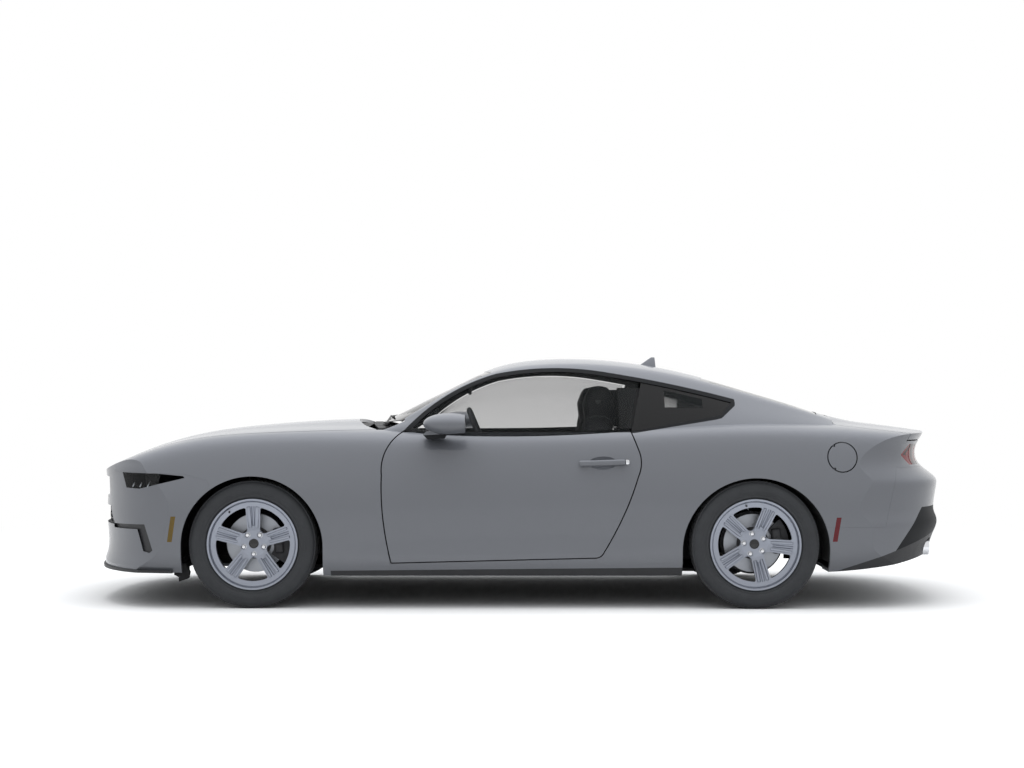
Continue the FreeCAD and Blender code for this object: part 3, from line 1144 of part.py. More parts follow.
def build_all():
    body = Body()
    body.bulge = lower_form(-32).cut(lower_form(-22))
    body.bulge_foot = lower_form(-24).cut(body.lower)
    parts = build_panels(body)
    door = build_door(body)
    parts["door_left"] = door
    parts["door_glass_left"] = parts["door_glass_left"].cut(door)
    handle = build_handle(body)
    parts["door_handle_left"] = handle
    parts["mirror_left"] = largest(build_mirror().cut([body.lower, body.upper]))
    ring = build_door_ring(body)
    floor, walls = build_inner(body, ring)
    parts["floor_pan"] = floor
    parts["bulkheads"] = Part.Compound([whole(w) for w in walls])
    parts["wheel_liners"] = build_liners(body)
    parts["front_seats"] = build_seats()
    parts["rear_seat"] = build_rear_seat()
    parts["dashboard"] = build_dashboard()
    parts["steering_wheel"] = build_steering_wheel()
    parts["knuckle_front_left"] = build_front_knuckle()
    parts["front_suspension"] = build_front_suspension()
    parts["rear_suspension"] = build_rear_suspension()
    parts.update(build_small(body))
    for name in ("door_left", "door_glass_left", "door_handle_left", "mirror_left",
                 "knuckle_front_left"):
        parts[name.replace("left", "right")] = mirrored(parts[name])
    for end, x, track, phase in (("front", AXLE_F, TRACK_FRONT, FRONT_PHASE),
                                 ("rear", AXLE_R, TRACK_REAR, REAR_PHASE)):
        tyre, rim, disc = build_wheel(x, -track / 2, WHEEL_Z, -1, phase)
        for name, piece in (("tyre", tyre), ("wheel", rim), ("brake_disc", disc)):
            parts[f"{name}_{end}_left"] = piece
            parts[f"{name}_{end}_right"] = mirrored(piece)
    return body, parts


def main():
    body, parts = build_all()
    os.makedirs("parts", exist_ok=True)
    for name, shape in parts.items():
        shape.exportStep(f"parts/{name}.step")
        print(name, len(shape.Solids), shape.isValid(), round(shape.Volume / 1e6, 2))
    print("fuel door pin", fuel_pin_line(body))


main()
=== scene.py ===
import math
import bpy
from mathutils import Matrix, Vector


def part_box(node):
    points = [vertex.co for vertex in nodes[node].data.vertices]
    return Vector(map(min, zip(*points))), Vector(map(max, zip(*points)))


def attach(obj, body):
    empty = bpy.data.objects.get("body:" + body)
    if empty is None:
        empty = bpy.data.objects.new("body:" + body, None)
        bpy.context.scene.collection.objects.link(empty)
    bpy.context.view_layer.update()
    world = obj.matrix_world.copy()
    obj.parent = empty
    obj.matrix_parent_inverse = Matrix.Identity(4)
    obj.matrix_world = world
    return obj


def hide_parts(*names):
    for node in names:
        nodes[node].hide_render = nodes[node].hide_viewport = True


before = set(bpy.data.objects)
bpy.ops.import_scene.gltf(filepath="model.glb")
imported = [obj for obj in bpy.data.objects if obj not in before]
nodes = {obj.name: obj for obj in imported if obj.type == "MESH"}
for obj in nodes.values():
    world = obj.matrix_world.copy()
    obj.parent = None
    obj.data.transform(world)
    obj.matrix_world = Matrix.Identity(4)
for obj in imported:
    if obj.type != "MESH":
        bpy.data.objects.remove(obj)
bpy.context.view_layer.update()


# ---- Painted body panels
# Pressed steel and aluminium, primed and sprayed with a grey metallic base coat under
# clear lacquer. The flakes glint, and the lacquer keeps a faint orange peel.

class Tone:
    """A value that varies over a surface. Arithmetic on it adds Math nodes."""

    def __init__(self, finish, socket):
        self.finish = finish
        self.socket = socket

    def maths(self, operation, *values):
        return self.finish.node("Math", {"operation": operation}, dict(enumerate(values)))

    def of(self, name):
        return Tone(self.finish, self.socket.node.outputs[name])

    def __add__(self, other):
        return self.maths("ADD", self, other)

    __radd__ = __add__

    def __sub__(self, other):
        return self.maths("SUBTRACT", self, other)

    def __rsub__(self, other):
        return self.maths("SUBTRACT", other, self)

    def __mul__(self, other):
        return self.maths("MULTIPLY", self, other)

    __rmul__ = __mul__

    def __truediv__(self, other):
        return self.maths("DIVIDE", self, other)

    def __abs__(self):
        return self.maths("ABSOLUTE", self)

    def __gt__(self, other):
        return self.maths("GREATER_THAN", self, other)

    def __lt__(self, other):
        return self.maths("LESS_THAN", self, other)

    def __or__(self, other):
        return self.maths("MAXIMUM", self, other)

    def __and__(self, other):
        return self.maths("MINIMUM", self, other)

    def root(self):
        return self.maths("SQRT", self)

    def sine(self):
        return self.maths("SINE", self)

    def fraction(self):
        return self.maths("FRACT", self)

    def folded(self, step):
        """Rises and falls over and over, between nothing and step."""
        return self.maths("PINGPONG", self, step)


class Finish:
    """A material built round one Principled shader."""

    def __init__(self, name, settings):
        self.material = bpy.data.materials.new(name)
        self.material.use_nodes = True
        self.tree = self.material.node_tree
        self.shader = self.tree.nodes["Principled BSDF"]
        for key, value in settings.items():
            self.put(value, self.shader.inputs[key])

    def put(self, value, socket):
        if isinstance(value, Tone):
            self.tree.links.new(value.socket, socket)
        elif isinstance(value, tuple) and socket.type == "RGBA":
            socket.default_value = (*value, 1.0)
        else:
            socket.default_value = value

    def node(self, kind, settings, sockets, output=0):
        made = self.tree.nodes.new("ShaderNode" + kind)
        for key, value in settings.items():
            setattr(made, key, value)
        for key, value in sockets.items():
            self.put(value, made.inputs[key])
        return Tone(self, made.outputs[output])

    def place(self):
        """X, Y and Z of a point on the surface, in metres."""
        spot = self.node("TexCoord", {}, {}, "Object")
        x = self.node("SeparateXYZ", {}, {0: spot})
        return x, x.of("Y"), x.of("Z")

    def noise(self, scale, detail=2.0):
        spot = self.node("TexCoord", {}, {}, "Object")
        return self.node("TexNoise", {}, {"Vector": spot, "Scale": scale, "Detail": detail})

    def mix(self, share, first, second):
        return self.node("Mix", {"data_type": "RGBA"}, {0: share, 6: first, 7: second}, 2)

    def vary(self, name, tone):
        self.put(tone, self.shader.inputs[name])

    def bump(self, height, distance):
        self.vary("Normal", self.node("Bump", {}, {"Height": height, "Distance": distance}))


def circle_through(a, b, c):
    """Centre and radius of the circle through three points of a side view."""
    ax, az, bx, bz, cx, cz = *a, *b, *c
    d = 2 * (ax * (bz - cz) + bx * (cz - az) + cx * (az - bz))
    pa, pb, pc = ax * ax + az * az, bx * bx + bz * bz, cx * cx + cz * cz
    x = (pa * (bz - cz) + pb * (cz - az) + pc * (az - bz)) / d
    z = (pa * (cx - bx) + pb * (ax - cx) + pc * (bx - ax)) / d
    return x, z, math.hypot(ax - x, az - z)


def inside_circle(x, z, circle, grow):
    cx, cz, r = circle
    square = (x - cx) * (x - cx) + (z - cz) * (z - cz)
    return square < (r + grow) ** 2


LACQUER = 0.65
PAINT_DEEP, PAINT_BRIGHT = (0.180, 0.189, 0.212), (0.232, 0.243, 0.270)
PAINT_CLOUD = (0.15, 0.158, 0.178)
PAINT_MIDDLE = (0.206, 0.216, 0.240)
GLOSS_BLACK = (0.009, 0.010, 0.012)


def grey_paint(name, black=None):
    """The body colour. black gives the share of the surface that is gloss black instead."""
    finish = Finish(name, {"IOR": 1.45, "Coat Weight": LACQUER, "Coat Roughness": 0.04,
                           "Specular IOR Level": 0.3})
    flake = finish.noise(1500, 1)
    cloud = finish.noise(2.5, 3)
    colour = finish.mix(flake, PAINT_DEEP, PAINT_BRIGHT)
    colour = finish.mix(0.12 * cloud, colour, PAINT_CLOUD)
    metal = 0.10 + 0.08 * flake
    rough = 0.36 + 0.08 * cloud
    if black:
        share = black(finish)
        colour = finish.mix(share, colour, GLOSS_BLACK)
        metal = metal * (1 - share)
        rough = rough + 0.22 * share
        finish.vary("Coat Weight", LACQUER * (1 - share))
    finish.vary("Base Color", colour)
    finish.vary("Metallic", metal)
    finish.vary("Roughness", rough)
    finish.bump(finish.noise(160, 1) * 0.6 + finish.noise(1500, 0) * 0.12, 0.0004)
    return finish


BELT = 0.957
SILL_RISE = 0.160
SEAL = 0.022
CABIN_SIDE = 0.60
# The line round the side windows as (x, z): up the front post, over the doors, down to a tip.
POST_FOOT, POST_MIDDLE, ROOF_START = (-0.618, 0.953), (-0.377, 1.148), (-0.136, 1.252)
ROOF_MIDDLE, ROOF_END = (0.200, 1.284), (0.479, 1.259)
SWEEP_MIDDLE, REAR_TIP, TAIL_FOOT = (0.843, 1.191), (1.163, 1.114), (1.055, 1.0385)
DAYLIGHT_FRONT = circle_through(POST_FOOT, POST_MIDDLE, ROOF_START)
DAYLIGHT_TOP = circle_through(ROOF_START, ROOF_MIDDLE, ROOF_END)
DAYLIGHT_REAR = circle_through(ROOF_END, SWEEP_MIDDLE, REAR_TIP)


def beside_windows(finish):
    """The rubber and black trim round the side windows, and the lock post between them."""
    x, y, z = finish.place()
    start_x, end_x = ROOF_START[0], ROOF_END[0]
    (tip_x, tip_z), (foot_x, foot_z) = REAR_TIP, TAIL_FOOT
    front = inside_circle(x, z, DAYLIGHT_FRONT, SEAL) & (x < start_x)
    top = inside_circle(x, z, DAYLIGHT_TOP, SEAL) & (x > start_x) & (x < end_x)
    rear = inside_circle(x, z, DAYLIGHT_REAR, SEAL) & (x > end_x)
    tail = z > foot_z - SEAL + (x - foot_x) * 0.239
    tip = x < tip_x + SEAL * 0.9 - abs(z - tip_z) * 0.1
    corner = z > tip_z - SEAL * 1.5 + (x - tip_x) * 0.85
    sill = z > BELT - 0.009 + ((x - 0.62) | 0.0) * SILL_RISE
    outside = abs(y) > CABIN_SIDE
    return (front | top | rear) & sill & (tail | (x < foot_x)) & tip & corner & outside


def above_belt(finish):
    """A door's rubber seal and the frame over it."""
    _, y, z = finish.place()
    return (z > BELT - 0.006) & (abs(y) > CABIN_SIDE)


def give(finish, *names):
    """Puts a finish on CAD nodes or on pieces made here."""
    for name in names:
        piece = nodes.get(name) or bpy.data.objects[name]
        piece.data.materials.clear()
        piece.data.materials.append(finish.material)


SPINE_FRONT, SPINE_REAR, SPINE_Z = -1.7, 1.6, 0.6


def give_inside(finish, *names):
    """The faces of a panel that look into the car have a finish of their own."""
    for name in names:
        mesh = nodes[name].data
        mesh.materials.append(finish.material)
        for face in mesh.polygons:
            spine = Vector((min(max(face.center.x, SPINE_FRONT), SPINE_REAR), 0.0, SPINE_Z))
            if face.normal.dot((face.center - spine).normalized()) < -0.15:
                face.material_index = len(mesh.materials) - 1


DIFFUSER_X, DIFFUSER_TOP = 2.008, 0.54


def below_diffuser_line(finish):
    """The rear bumper is black under a line that climbs to the rear and then runs level."""
    x, _, z = finish.place()
    return (x > DIFFUSER_X) & (z < 0.270 + (x - DIFFUSER_X) * 1.386) & (z < DIFFUSER_TOP)


body_grey = grey_paint("metallic_grey_lacquer")
give(body_grey, "roof_panel", "front_fenders", "front_bumper", "hood", "trunk_lid",
     "fuel_door")
give(grey_paint("metallic_grey_over_black_diffuser", below_diffuser_line), "rear_bumper")
give(grey_paint("metallic_grey_with_window_seals", beside_windows), "body_frame")
give(grey_paint("metallic_grey_with_belt_seal", above_belt), "door_left", "door_right")

# The inner faces of the panels are dark. Under the bumpers and in the arches this is real
# undercoat; elsewhere it is painted shade, so the shut lines between panels read dark.
undercoat_and_gap_shade = Finish("grey_underside_coat_and_gap_shade", {"Roughness": 0.7})
undercoat_and_gap_shade.vary("Base Color", undercoat_and_gap_shade.mix(undercoat_and_gap_shade.noise(6), (0.05, 0.052, 0.056),
                                           (0.085, 0.087, 0.092)))
undercoat_and_gap_shade.bump(undercoat_and_gap_shade.noise(300, 3), 0.0006)
give_inside(undercoat_and_gap_shade, "front_fenders", "front_bumper", "rear_bumper", "hood", "trunk_lid",
            "fuel_door")
lining = Finish("woven_headlining", {"Roughness": 0.95, "Sheen Weight": 0.15})
lining.vary("Base Color", lining.mix(lining.noise(900, 2), (0.035, 0.036, 0.04),
                                     (0.085, 0.087, 0.093)))
lining.bump(lining.noise(1200, 2), 0.0005)
give_inside(lining, "body_frame", "roof_panel", "door_left", "door_right")


# ---- Windows
# Laminated windscreen and toughened side and rear panes, lightly tinted. A black fired-on
# border hides the glue, and the rear pane has fine heating lines.

def pane(name, clear, border=None, tint=(0.018, 0.021, 0.022)):
    """Glass whose faces each hold back a share of the light, more at a glancing angle."""
    finish = Finish(name, {"Roughness": 0.02, "IOR": 1.5, "Specular IOR Level": 0.35})
    glance = finish.node("Fresnel", {}, {"IOR": 1.5})
    hold = clear + 0.9 * glance
    colour = finish.mix(0.3 * finish.noise(1.5), tint, (0.03, 0.035, 0.036))
    if border:
        share = border(finish)
        hold = hold | share
        colour = finish.mix(share, colour, (0.006, 0.006, 0.007))
    finish.vary("Base Color", colour)
    finish.vary("Alpha", hold & 1.0)
    finish.bump(finish.noise(2.0, 1), 0.0002)
    return finish


def windscreen_border(finish):
    """The black border: each edge of the glass, less the border's width there."""
    x, y, _ = finish.place()
    side = abs(y) > 0.728 - 0.035 - (x + 0.655) * 0.249
    top = x > -0.215 - 0.045 + y * y * 0.136
    foot = x < -0.837 + 0.085 + y * y * 0.343
    sensor = (x > -0.36) & (abs(y) < 0.13)
    return side | top | foot | sensor


HEATING_STEP = 0.034


def rear_pane_border(finish):
    """The border in the same way, with the heating lines between."""
    x, y, _ = finish.place()
    side = abs(y) > 0.566 - 0.04 + (x - 1.006) * 0.053
    top = x < 1.050 + 0.045 - y * y * 0.137
    foot = x > 1.704 - 0.11 - y * y * 0.153
    line = (x / HEATING_STEP).fraction() < 0.045
    heated = line & (x > 1.13) & (x < 1.57) & (abs(y) < 0.52)
    return side | top | foot | (heated * 0.7)


CLEAR_FRONT, CLEAR_REAR, CLEAR_FOOT = 0.790, 1.000, 1.085


def quarter_border(finish):
    """The fixed rear side pane is dark but for one clear corner under the roof."""
    x, _, z = finish.place()
    under_roof = inside_circle(x, z, DAYLIGHT_REAR, -SEAL)
    clear = under_roof & (x > CLEAR_FRONT) & (x < CLEAR_REAR) & (z > CLEAR_FOOT)
    return 0.93 * (1 - clear)


give(pane("tinted_windscreen", 0.10, windscreen_border), "windshield")
give(pane("tinted_door_glass", 0.135), "door_glass_left", "door_glass_right")
give(pane("dark_quarter_glass", 0.24, quarter_border), "quarter_windows")
give(pane("heated_rear_glass", 0.22, rear_pane_border), "rear_window")


# ---- Black mouldings
# Grained polypropylene: grilles, corner vents, splitter, diffuser, sills, cowl and liners.
# It is moulded in colour and clipped on, and greys a little where hands and stones rub it.

def plastic(name, low, high, rough, grain=700, depth=0.0004):
    finish = Finish(name, {"IOR": 1.5})
    finish.vary("Base Color", finish.mix(finish.noise(9, 4), low, high))
    finish.vary("Roughness", rough + 0.15 * (finish.noise(40, 3) - 0.5))
    finish.bump(finish.noise(grain, 2), depth)
    return finish


moulding = plastic("grained_black_moulding", (0.012, 0.013, 0.015), (0.030, 0.031, 0.035), 0.5)
give(moulding, "grille", "front_splitter", "rear_diffuser", "side_skirts")
felt = plastic("black_liner_felt", (0.008, 0.008, 0.009), (0.018, 0.018, 0.019), 0.95, 250,
               0.0015)
give(felt, "wheel_liners")

cowl = Finish("slotted_black_cowl", {"IOR": 1.5, "Roughness": 0.55})
COWL_SLOT_STEP, COWL_SLOTS_END = 0.018, 0.56
_, y, _ = cowl.place()
slots = ((y / COWL_SLOT_STEP).fraction() < 0.4) & (abs(y) < COWL_SLOTS_END)
# The slots are painted near black as painted shade inside the openings, which are only bumped
# in.
cowl.vary("Base Color", cowl.mix(slots, (0.028, 0.029, 0.032), (0.004, 0.004, 0.004)))
cowl.bump((1 - slots) + 0.1 * cowl.noise(600), 0.003)
give(cowl, "cowl_panel")


# ---- Wipers
# Each rubber blade hangs from a pressed steel arm, painted satin black, that bolts to a
# spindle through the cowl. A bowed moulding closes the foot of the windscreen.

def start(kind, name, **size):
    """A primitive, alone selected, ready to be shaped."""
    if bpy.context.object and bpy.context.object.mode != "OBJECT":
        bpy.ops.object.mode_set(mode="OBJECT")
    bpy.ops.object.select_all(action="DESELECT")
    getattr(bpy.ops.mesh, f"primitive_{kind}_add")(**size)
    piece = bpy.context.object
    piece.name = name
    piece.data.name = name
    return piece


def select(*pieces):
    """Selects these pieces alone, the first of them active."""
    bpy.ops.object.select_all(action="DESELECT")
    for piece in pieces:
        piece.select_set(True)
    bpy.context.view_layer.objects.active = pieces[0]


def settle(piece):
    """Puts the piece's place into its mesh."""
    select(piece)
    bpy.ops.object.transform_apply(location=True, rotation=True, scale=True)


def modify(piece, kind, **settings):
    """Adds a modifier and applies it."""
    select(piece)
    modifier = piece.modifiers.new(kind, kind)
    for key, value in settings.items():
        setattr(modifier, key, value)
    bpy.ops.object.modifier_apply(modifier=modifier.name)


def smooth(piece, degrees):
    """Smooth shading, apart from edges sharper than this."""
    select(piece)
    bpy.ops.object.shade_smooth_by_angle(angle=math.radians(degrees))


def fit(piece, body, finish, degrees=35):
    """The last steps of a piece: place, shading, finish and the body it rides on."""
    settle(piece)
    smooth(piece, degrees)
    give(finish, piece.name)
    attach(piece, body)
    return piece


def bar(name, a, b, width, height, narrow=1.0, edge=0.0015):
    """A bar from a to b with rounded edges, narrower at b."""
    a, b = Vector(a), Vector(b)
    piece = start("cube", name, size=1.0)
    for vertex in piece.data.vertices:
        if vertex.co.x > 0:
            vertex.co.y *= narrow
            vertex.co.z *= narrow
    turn = (b - a).to_track_quat("X", "Z").to_matrix().to_4x4()
    piece.matrix_world = (Matrix.Translation((a + b) / 2) @ turn
                          @ Matrix.Diagonal(((b - a).length, width, height, 1)))
    settle(piece)
    modify(piece, "BEVEL", width=edge, segments=2)
    return piece


def joined(name, pieces):
    """Several shapes made one piece."""
    select(*pieces)
    bpy.ops.object.join()
    pieces[0].name = name
    pieces[0].data.name = name
    return pieces[0]


rubber = plastic("wiper_rubber", (0.008, 0.008, 0.009), (0.02, 0.02, 0.02), 0.6, 900, 0.0003)
satin = plastic("satin_black_steel", (0.010, 0.010, 0.011), (0.022, 0.022, 0.024), 0.4, 400,
                0.0002)


BLADE_X, SPINDLE_X, GLASS_BOW = -0.752, -0.800, 0.16
GLASS_SLOPE = Vector((-0.45, 0.0, 0.89))


def on_glass(x, y, off):
    """A point off above the windscreen."""
    spot = nodes["windshield"].ray_cast(Vector((x, y, 3.0)), Vector((0.0, 0.0, -1.0)))[1]
    return spot + GLASS_SLOPE * off


for name, y0, y1, pivot in (("left", -0.50, 0.02, -0.56), ("right", 0.02, 0.46, -0.02)):
    tips = [on_glass(BLADE_X + GLASS_BOW * y * y, y, 0.006) for y in (y0, (y0 + y1) / 2, y1)]
    blade = joined(f"wiper_blade_{name}", [
        bar("blade", a, b, 0.010, 0.010, 0.95, 0.002) for a, b in zip(tips, tips[1:])])
    fit(blade, "body", rubber)
    if name == "left":
        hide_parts("wipers")
    spindle_x = SPINDLE_X + GLASS_BOW * pivot * pivot
    spindle = start("cylinder", "spindle", vertices=24, radius=0.014, depth=0.02,
                    location=(spindle_x, pivot, 0.992))
    settle(spindle)
    modify(spindle, "BEVEL", width=0.003, segments=2)
    arm = bar("arm", (spindle_x, pivot, 1.000), tips[1] + Vector((-0.004, 0.0, 0.006)),
              0.015, 0.006, 0.6)
    fit(joined(f"wiper_arm_{name}", [arm, spindle]), "body", satin)

def windscreen_foot(y):
    """A point on the foot of the windscreen, which bows forward and up to the middle."""
    return Vector((-0.822 + 0.19 * y * y, y, 0.998 - 0.09 * y * y))


STRIPS, STRIP = 10, 0.12
strips = []
for number in range(STRIPS):
    y = (number - STRIPS / 2) * STRIP
    strips.append(bar("strip", windscreen_foot(y), windscreen_foot(y + STRIP), 0.075, 0.010,
                      edge=0.003))
fit(joined("windscreen_foot_moulding", strips), "body", moulding, 50)


# ---- Head lamps
# A smoked polycarbonate cover over a black housing. Three slanted light bars stand low in
# each housing.

LAMP_WALL, HOUSING_DEPTH = 0.003, 0.0125


def skin_of(node, name, inward):
    """The outer faces of a CAD piece, moved inward and given a wall."""
    piece = start("plane", name, size=0.01)
    piece.data = nodes[node].data.copy()
    piece.data.name = name
    bpy.ops.object.mode_set(mode="EDIT")
    bpy.ops.mesh.select_all(action="SELECT")
    bpy.ops.mesh.remove_doubles(threshold=0.00002)
    bpy.ops.mesh.customdata_custom_splitnormals_clear()
    bpy.ops.mesh.select_all(action="DESELECT")
    bpy.ops.object.mode_set(mode="OBJECT")
    for face in piece.data.polygons:
        spine = Vector((min(max(face.center.x, SPINE_FRONT), SPINE_REAR), 0.0,
                        face.center.z - 0.05))
        out = face.normal.dot((face.center - spine).normalized()) > 0.08
        face.select = not out
    bpy.ops.object.mode_set(mode="EDIT")
    bpy.ops.mesh.delete(type="FACE")
    bpy.ops.mesh.select_all(action="SELECT")
    if inward:
        bpy.ops.transform.shrink_fatten(value=-inward, use_even_offset=True)
    bpy.ops.object.mode_set(mode="OBJECT")
    modify(piece, "SOLIDIFY", thickness=LAMP_WALL, offset=-1)
    return piece


smoked = Finish("smoked_lamp_cover", {"Roughness": 0.03, "IOR": 1.5,
                                      "Specular IOR Level": 0.3})
smoked.vary("Base Color", smoked.mix(smoked.noise(5), (0.010, 0.011, 0.012),
                                     (0.022, 0.024, 0.026)))
smoked.vary("Alpha", 0.36 + smoked.node("Fresnel", {}, {"IOR": 1.5}) & 1.0)
cover = skin_of("headlamps", "headlamp_covers", 0.0)
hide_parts("headlamps")
fit(cover, "body", smoked, 40)

housing_black = plastic("lamp_housing_black", (0.010, 0.011, 0.012), (0.030, 0.032, 0.034), 0.3,
                        300, 0.0002)
fit(skin_of("headlamps", "headlamp_housings", HOUSING_DEPTH), "body", housing_black,
    40)

glow = Finish("pale_light_bar", {"Roughness": 0.25, "Emission Strength": 0.06, "IOR": 1.5})
glow.vary("Base Color", glow.mix(glow.noise(120), (0.34, 0.37, 0.40), (0.48, 0.51, 0.54)))
glow.vary("Emission Color", glow.mix(glow.noise(200), (0.7, 0.75, 0.8), (1.0, 1.0, 1.0)))


SIDES = ((-1, "left"), (1, "right"))
LIGHT_BARS_X, LIGHT_BAR_FOOT, LIGHT_BAR_HEAD = (-2.108, -2.062, -2.016), 0.654, 0.690


def surface_y(piece, x, z, side):
    """Where a piece's outside stands at one place of the side view."""
    hit, spot = piece.ray_cast(Vector((x, side * 2.0, z)), Vector((0.0, -side, 0.0)))[:2]
    return spot.y if hit else None


for side, name in SIDES:
    bars = []
    for x in LIGHT_BARS_X:
        y = surface_y(cover, x, 0.668, side) - side * 0.008
        bars.append(bar("light", (x - 0.010, y, LIGHT_BAR_FOOT), (x + 0.008, y, LIGHT_BAR_HEAD),
                        0.013, 0.006))
    fit(joined(f"headlamp_bars_{name}", bars), "body", glow)


# ---- Tail lamps
# Red acrylic covers with three upright bars each, let into the tail panel. The cover wraps
# round the haunch in a sideways vee.

lamp_red = Finish("red_tail_lamp", {"IOR": 1.45, "Coat Roughness": 0.04,
                                    "Emission Strength": 0.02})
VEE_X, VEE_Z = 2.082, 0.826
x, y, z = lamp_red.place()
vee = x - VEE_X - 1.07 * abs(z - VEE_Z)
painted = vee < 0.0
rim = (vee > 0.0) & (vee < 0.030 - 0.018 * (z > VEE_Z))
ribs = (z * 900.0).sine() * 0.5 + 0.5
upright = (abs(y) - 0.42).folded(0.055)
lit = rim | ((upright > 0.030) & (abs(z - 0.83) < 0.042) & (vee > 0.03))
tail_colour = lamp_red.mix(lit, (0.028, 0.004, 0.006), (0.22, 0.007, 0.012))
lamp_red.vary("Base Color", lamp_red.mix(painted, tail_colour, PAINT_MIDDLE))
lamp_red.vary("Emission Color", lamp_red.mix(lit * (vee > 0.0), (0.0, 0.0, 0.0),
                                             (0.9, 0.03, 0.05)))
lamp_red.vary("Metallic", 0.14 * painted)
lamp_red.vary("Roughness", 0.10 + 0.30 * painted)
lamp_red.vary("Coat Weight", 0.10 + 0.55 * painted)
lamp_red.bump(ribs * lit, 0.0008)
give(lamp_red, "tail_lamps")


# ---- Side markers
# Moulded reflectors let into the bumpers: amber at the front, red at the rear, with a fine
# pattern of prisms.

marker = Finish("prism_reflector", {"Roughness": 0.15, "IOR": 1.5,
                                    "Specular IOR Level": 0.3})
PRISM = 0.0025
x, _, z = marker.place()
prisms = (z + x * 0.5).folded(PRISM) + (z - x * 0.5).folded(PRISM)
amber_or_red = marker.mix(x > 0.0, (0.235, 0.150, 0.020), (0.21, 0.010, 0.020))
marker.vary("Base Color", marker.mix(0.25 * marker.noise(90), amber_or_red,
                                     (0.05, 0.02, 0.01)))
marker.bump(prisms * 300.0, 0.0008)
give(marker, "side_markers")


# ---- Door mirrors
# A painted cap on a black foot. The glass is a thin silvered plate held in the recess at
# the back of the cap.

def mirror_foot(finish):
    x, _, z = finish.place()
    return z < 0.9465 + (x + 0.38) * 0.06


give(grey_paint("metallic_grey_mirror_cap", mirror_foot), "mirror_left", "mirror_right")
silvered = Finish("silvered_glass", {"Metallic": 1.0})
silvered.vary("Base Color", silvered.mix(silvered.noise(4), (0.60, 0.62, 0.64),
                                         (0.72, 0.74, 0.76)))
silvered.vary("Roughness", 0.02 + 0.02 * silvered.noise(30))
MIRROR_X, MIRROR_Y, MIRROR_Z = -0.3035, 0.9855, 0.999
MIRROR_HALF_HEIGHT, MIRROR_HALF_WIDTH = 0.0405, 0.0745
for side, name in SIDES:
    glass = start("cylinder", f"mirror_glass_{name}", vertices=64, radius=1.0, depth=0.003,
                  location=(MIRROR_X, side * MIRROR_Y, MIRROR_Z),
                  rotation=(0, math.pi / 2, 0))
    glass.scale = (MIRROR_HALF_HEIGHT, MIRROR_HALF_WIDTH, 1.0)
    settle(glass)
    modify(glass, "BEVEL", width=0.001, segments=2, limit_method="ANGLE")
    fit(glass, f"door_{name}", silvered)


# ---- Door handles
# A fixed pull bar stands off each door over its scoop, on two feet. The left one ends in a
# chromed key cap.

chrome = Finish("bright_chrome", {"Metallic": 1.0})
chrome.vary("Base Color", chrome.mix(chrome.noise(8), (0.58, 0.59, 0.61), (0.68, 0.69, 0.71)))
chrome.vary("Roughness", 0.10 + 0.06 * chrome.noise(60))
chrome.bump(chrome.noise(40), 0.0001)
PULL_FRONT, PULL_REAR, PULL_CAP_END = (0.312, 0.784), (0.560, 0.792), (0.584, 0.793)
PULL_STAND, ABOVE_SCOOP = 0.030, 0.850
FOOT_SHIFT = Vector((0.022, 0.0, 0.0))
CAP_GAP = Vector((0.0015, 0.0, 0.0))
for side, name in SIDES:
    door = nodes[f"door_{name}"]
    front, rear, cap_end = [
        Vector((x, surface_y(door, x, ABOVE_SCOOP, side) + side * PULL_STAND, z))
        for x, z in (PULL_FRONT, PULL_REAR, PULL_CAP_END)]
    inward = Vector((0.0, -side * 0.040, 0.0))
    grip = bar("grip", front, rear, 0.017, 0.031, edge=0.008)
    feet = [bar("foot", spot + inward, spot, 0.030, 0.022, edge=0.005)
            for spot in (front + FOOT_SHIFT, rear - FOOT_SHIFT)]
    pull = joined(f"door_pull_{name}", [grip] + feet)
    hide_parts(f"door_handle_{name}")
    fit(pull, f"door_{name}", body_grey, 50)
    cap_finish, cap_slot = (chrome, "steel") if side < 0 else (body_grey, "body_paint")
    cap = bar(f"door_pull_cap_{name}", rear + CAP_GAP, cap_end, 0.017, 0.031, 0.8, 0.007)
    fit(cap, f"door_{name}", cap_finish, 50)


# ---- Roof fin
# A small painted aerial fin near the rear of the roof, thin and swept at the top.

# Front, rear, width and height of the fin's foot and of its tip.
FIN_FOOT, FIN_TIP = (0.681, 0.803, 0.042, 1.318), (0.776, 0.797, 0.009, 1.384)
fin = start("cube", "aerial_fin", size=1.0)
for vertex in fin.data.vertices:
    x, y, z = vertex.co
    front, rear, width, height = FIN_TIP if z > 0 else FIN_FOOT
    vertex.co = (rear if x > 0 else front, y * width, height)
modify(fin, "BEVEL", width=0.006, segments=3)
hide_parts("roof_antenna")
fit(fin, "body", body_grey, 50)


# ---- Inner pillar trims
# Dark moulded panels line the lock posts inside the glass.

card_plastic = plastic("cabin_plastic", (0.016, 0.017, 0.019), (0.030, 0.031, 0.034), 0.65, 600,
                       0.0005)
TRIM_LOW, TRIM_HIGH, TRIM_INSET = (0.665, 1.020), (0.655, 1.140), 0.045
for side, name in SIDES:
    low, high = [
        Vector((x, surface_y(nodes["quarter_windows"], x, z, side) - side * TRIM_INSET, z))
        for x, z in (TRIM_LOW, TRIM_HIGH)]
    reach = (high - low) * 0.45
    trim = bar(f"pillar_trim_{name}", low - reach, high + reach, 0.27, 0.016, 0.9, 0.006)
    fit(trim, "body", card_plastic, 50)


# ---- Door cards
# Moulded panels clipped to the doors' inner skin, padded across the middle, with an armrest
# and a bright inside handle.

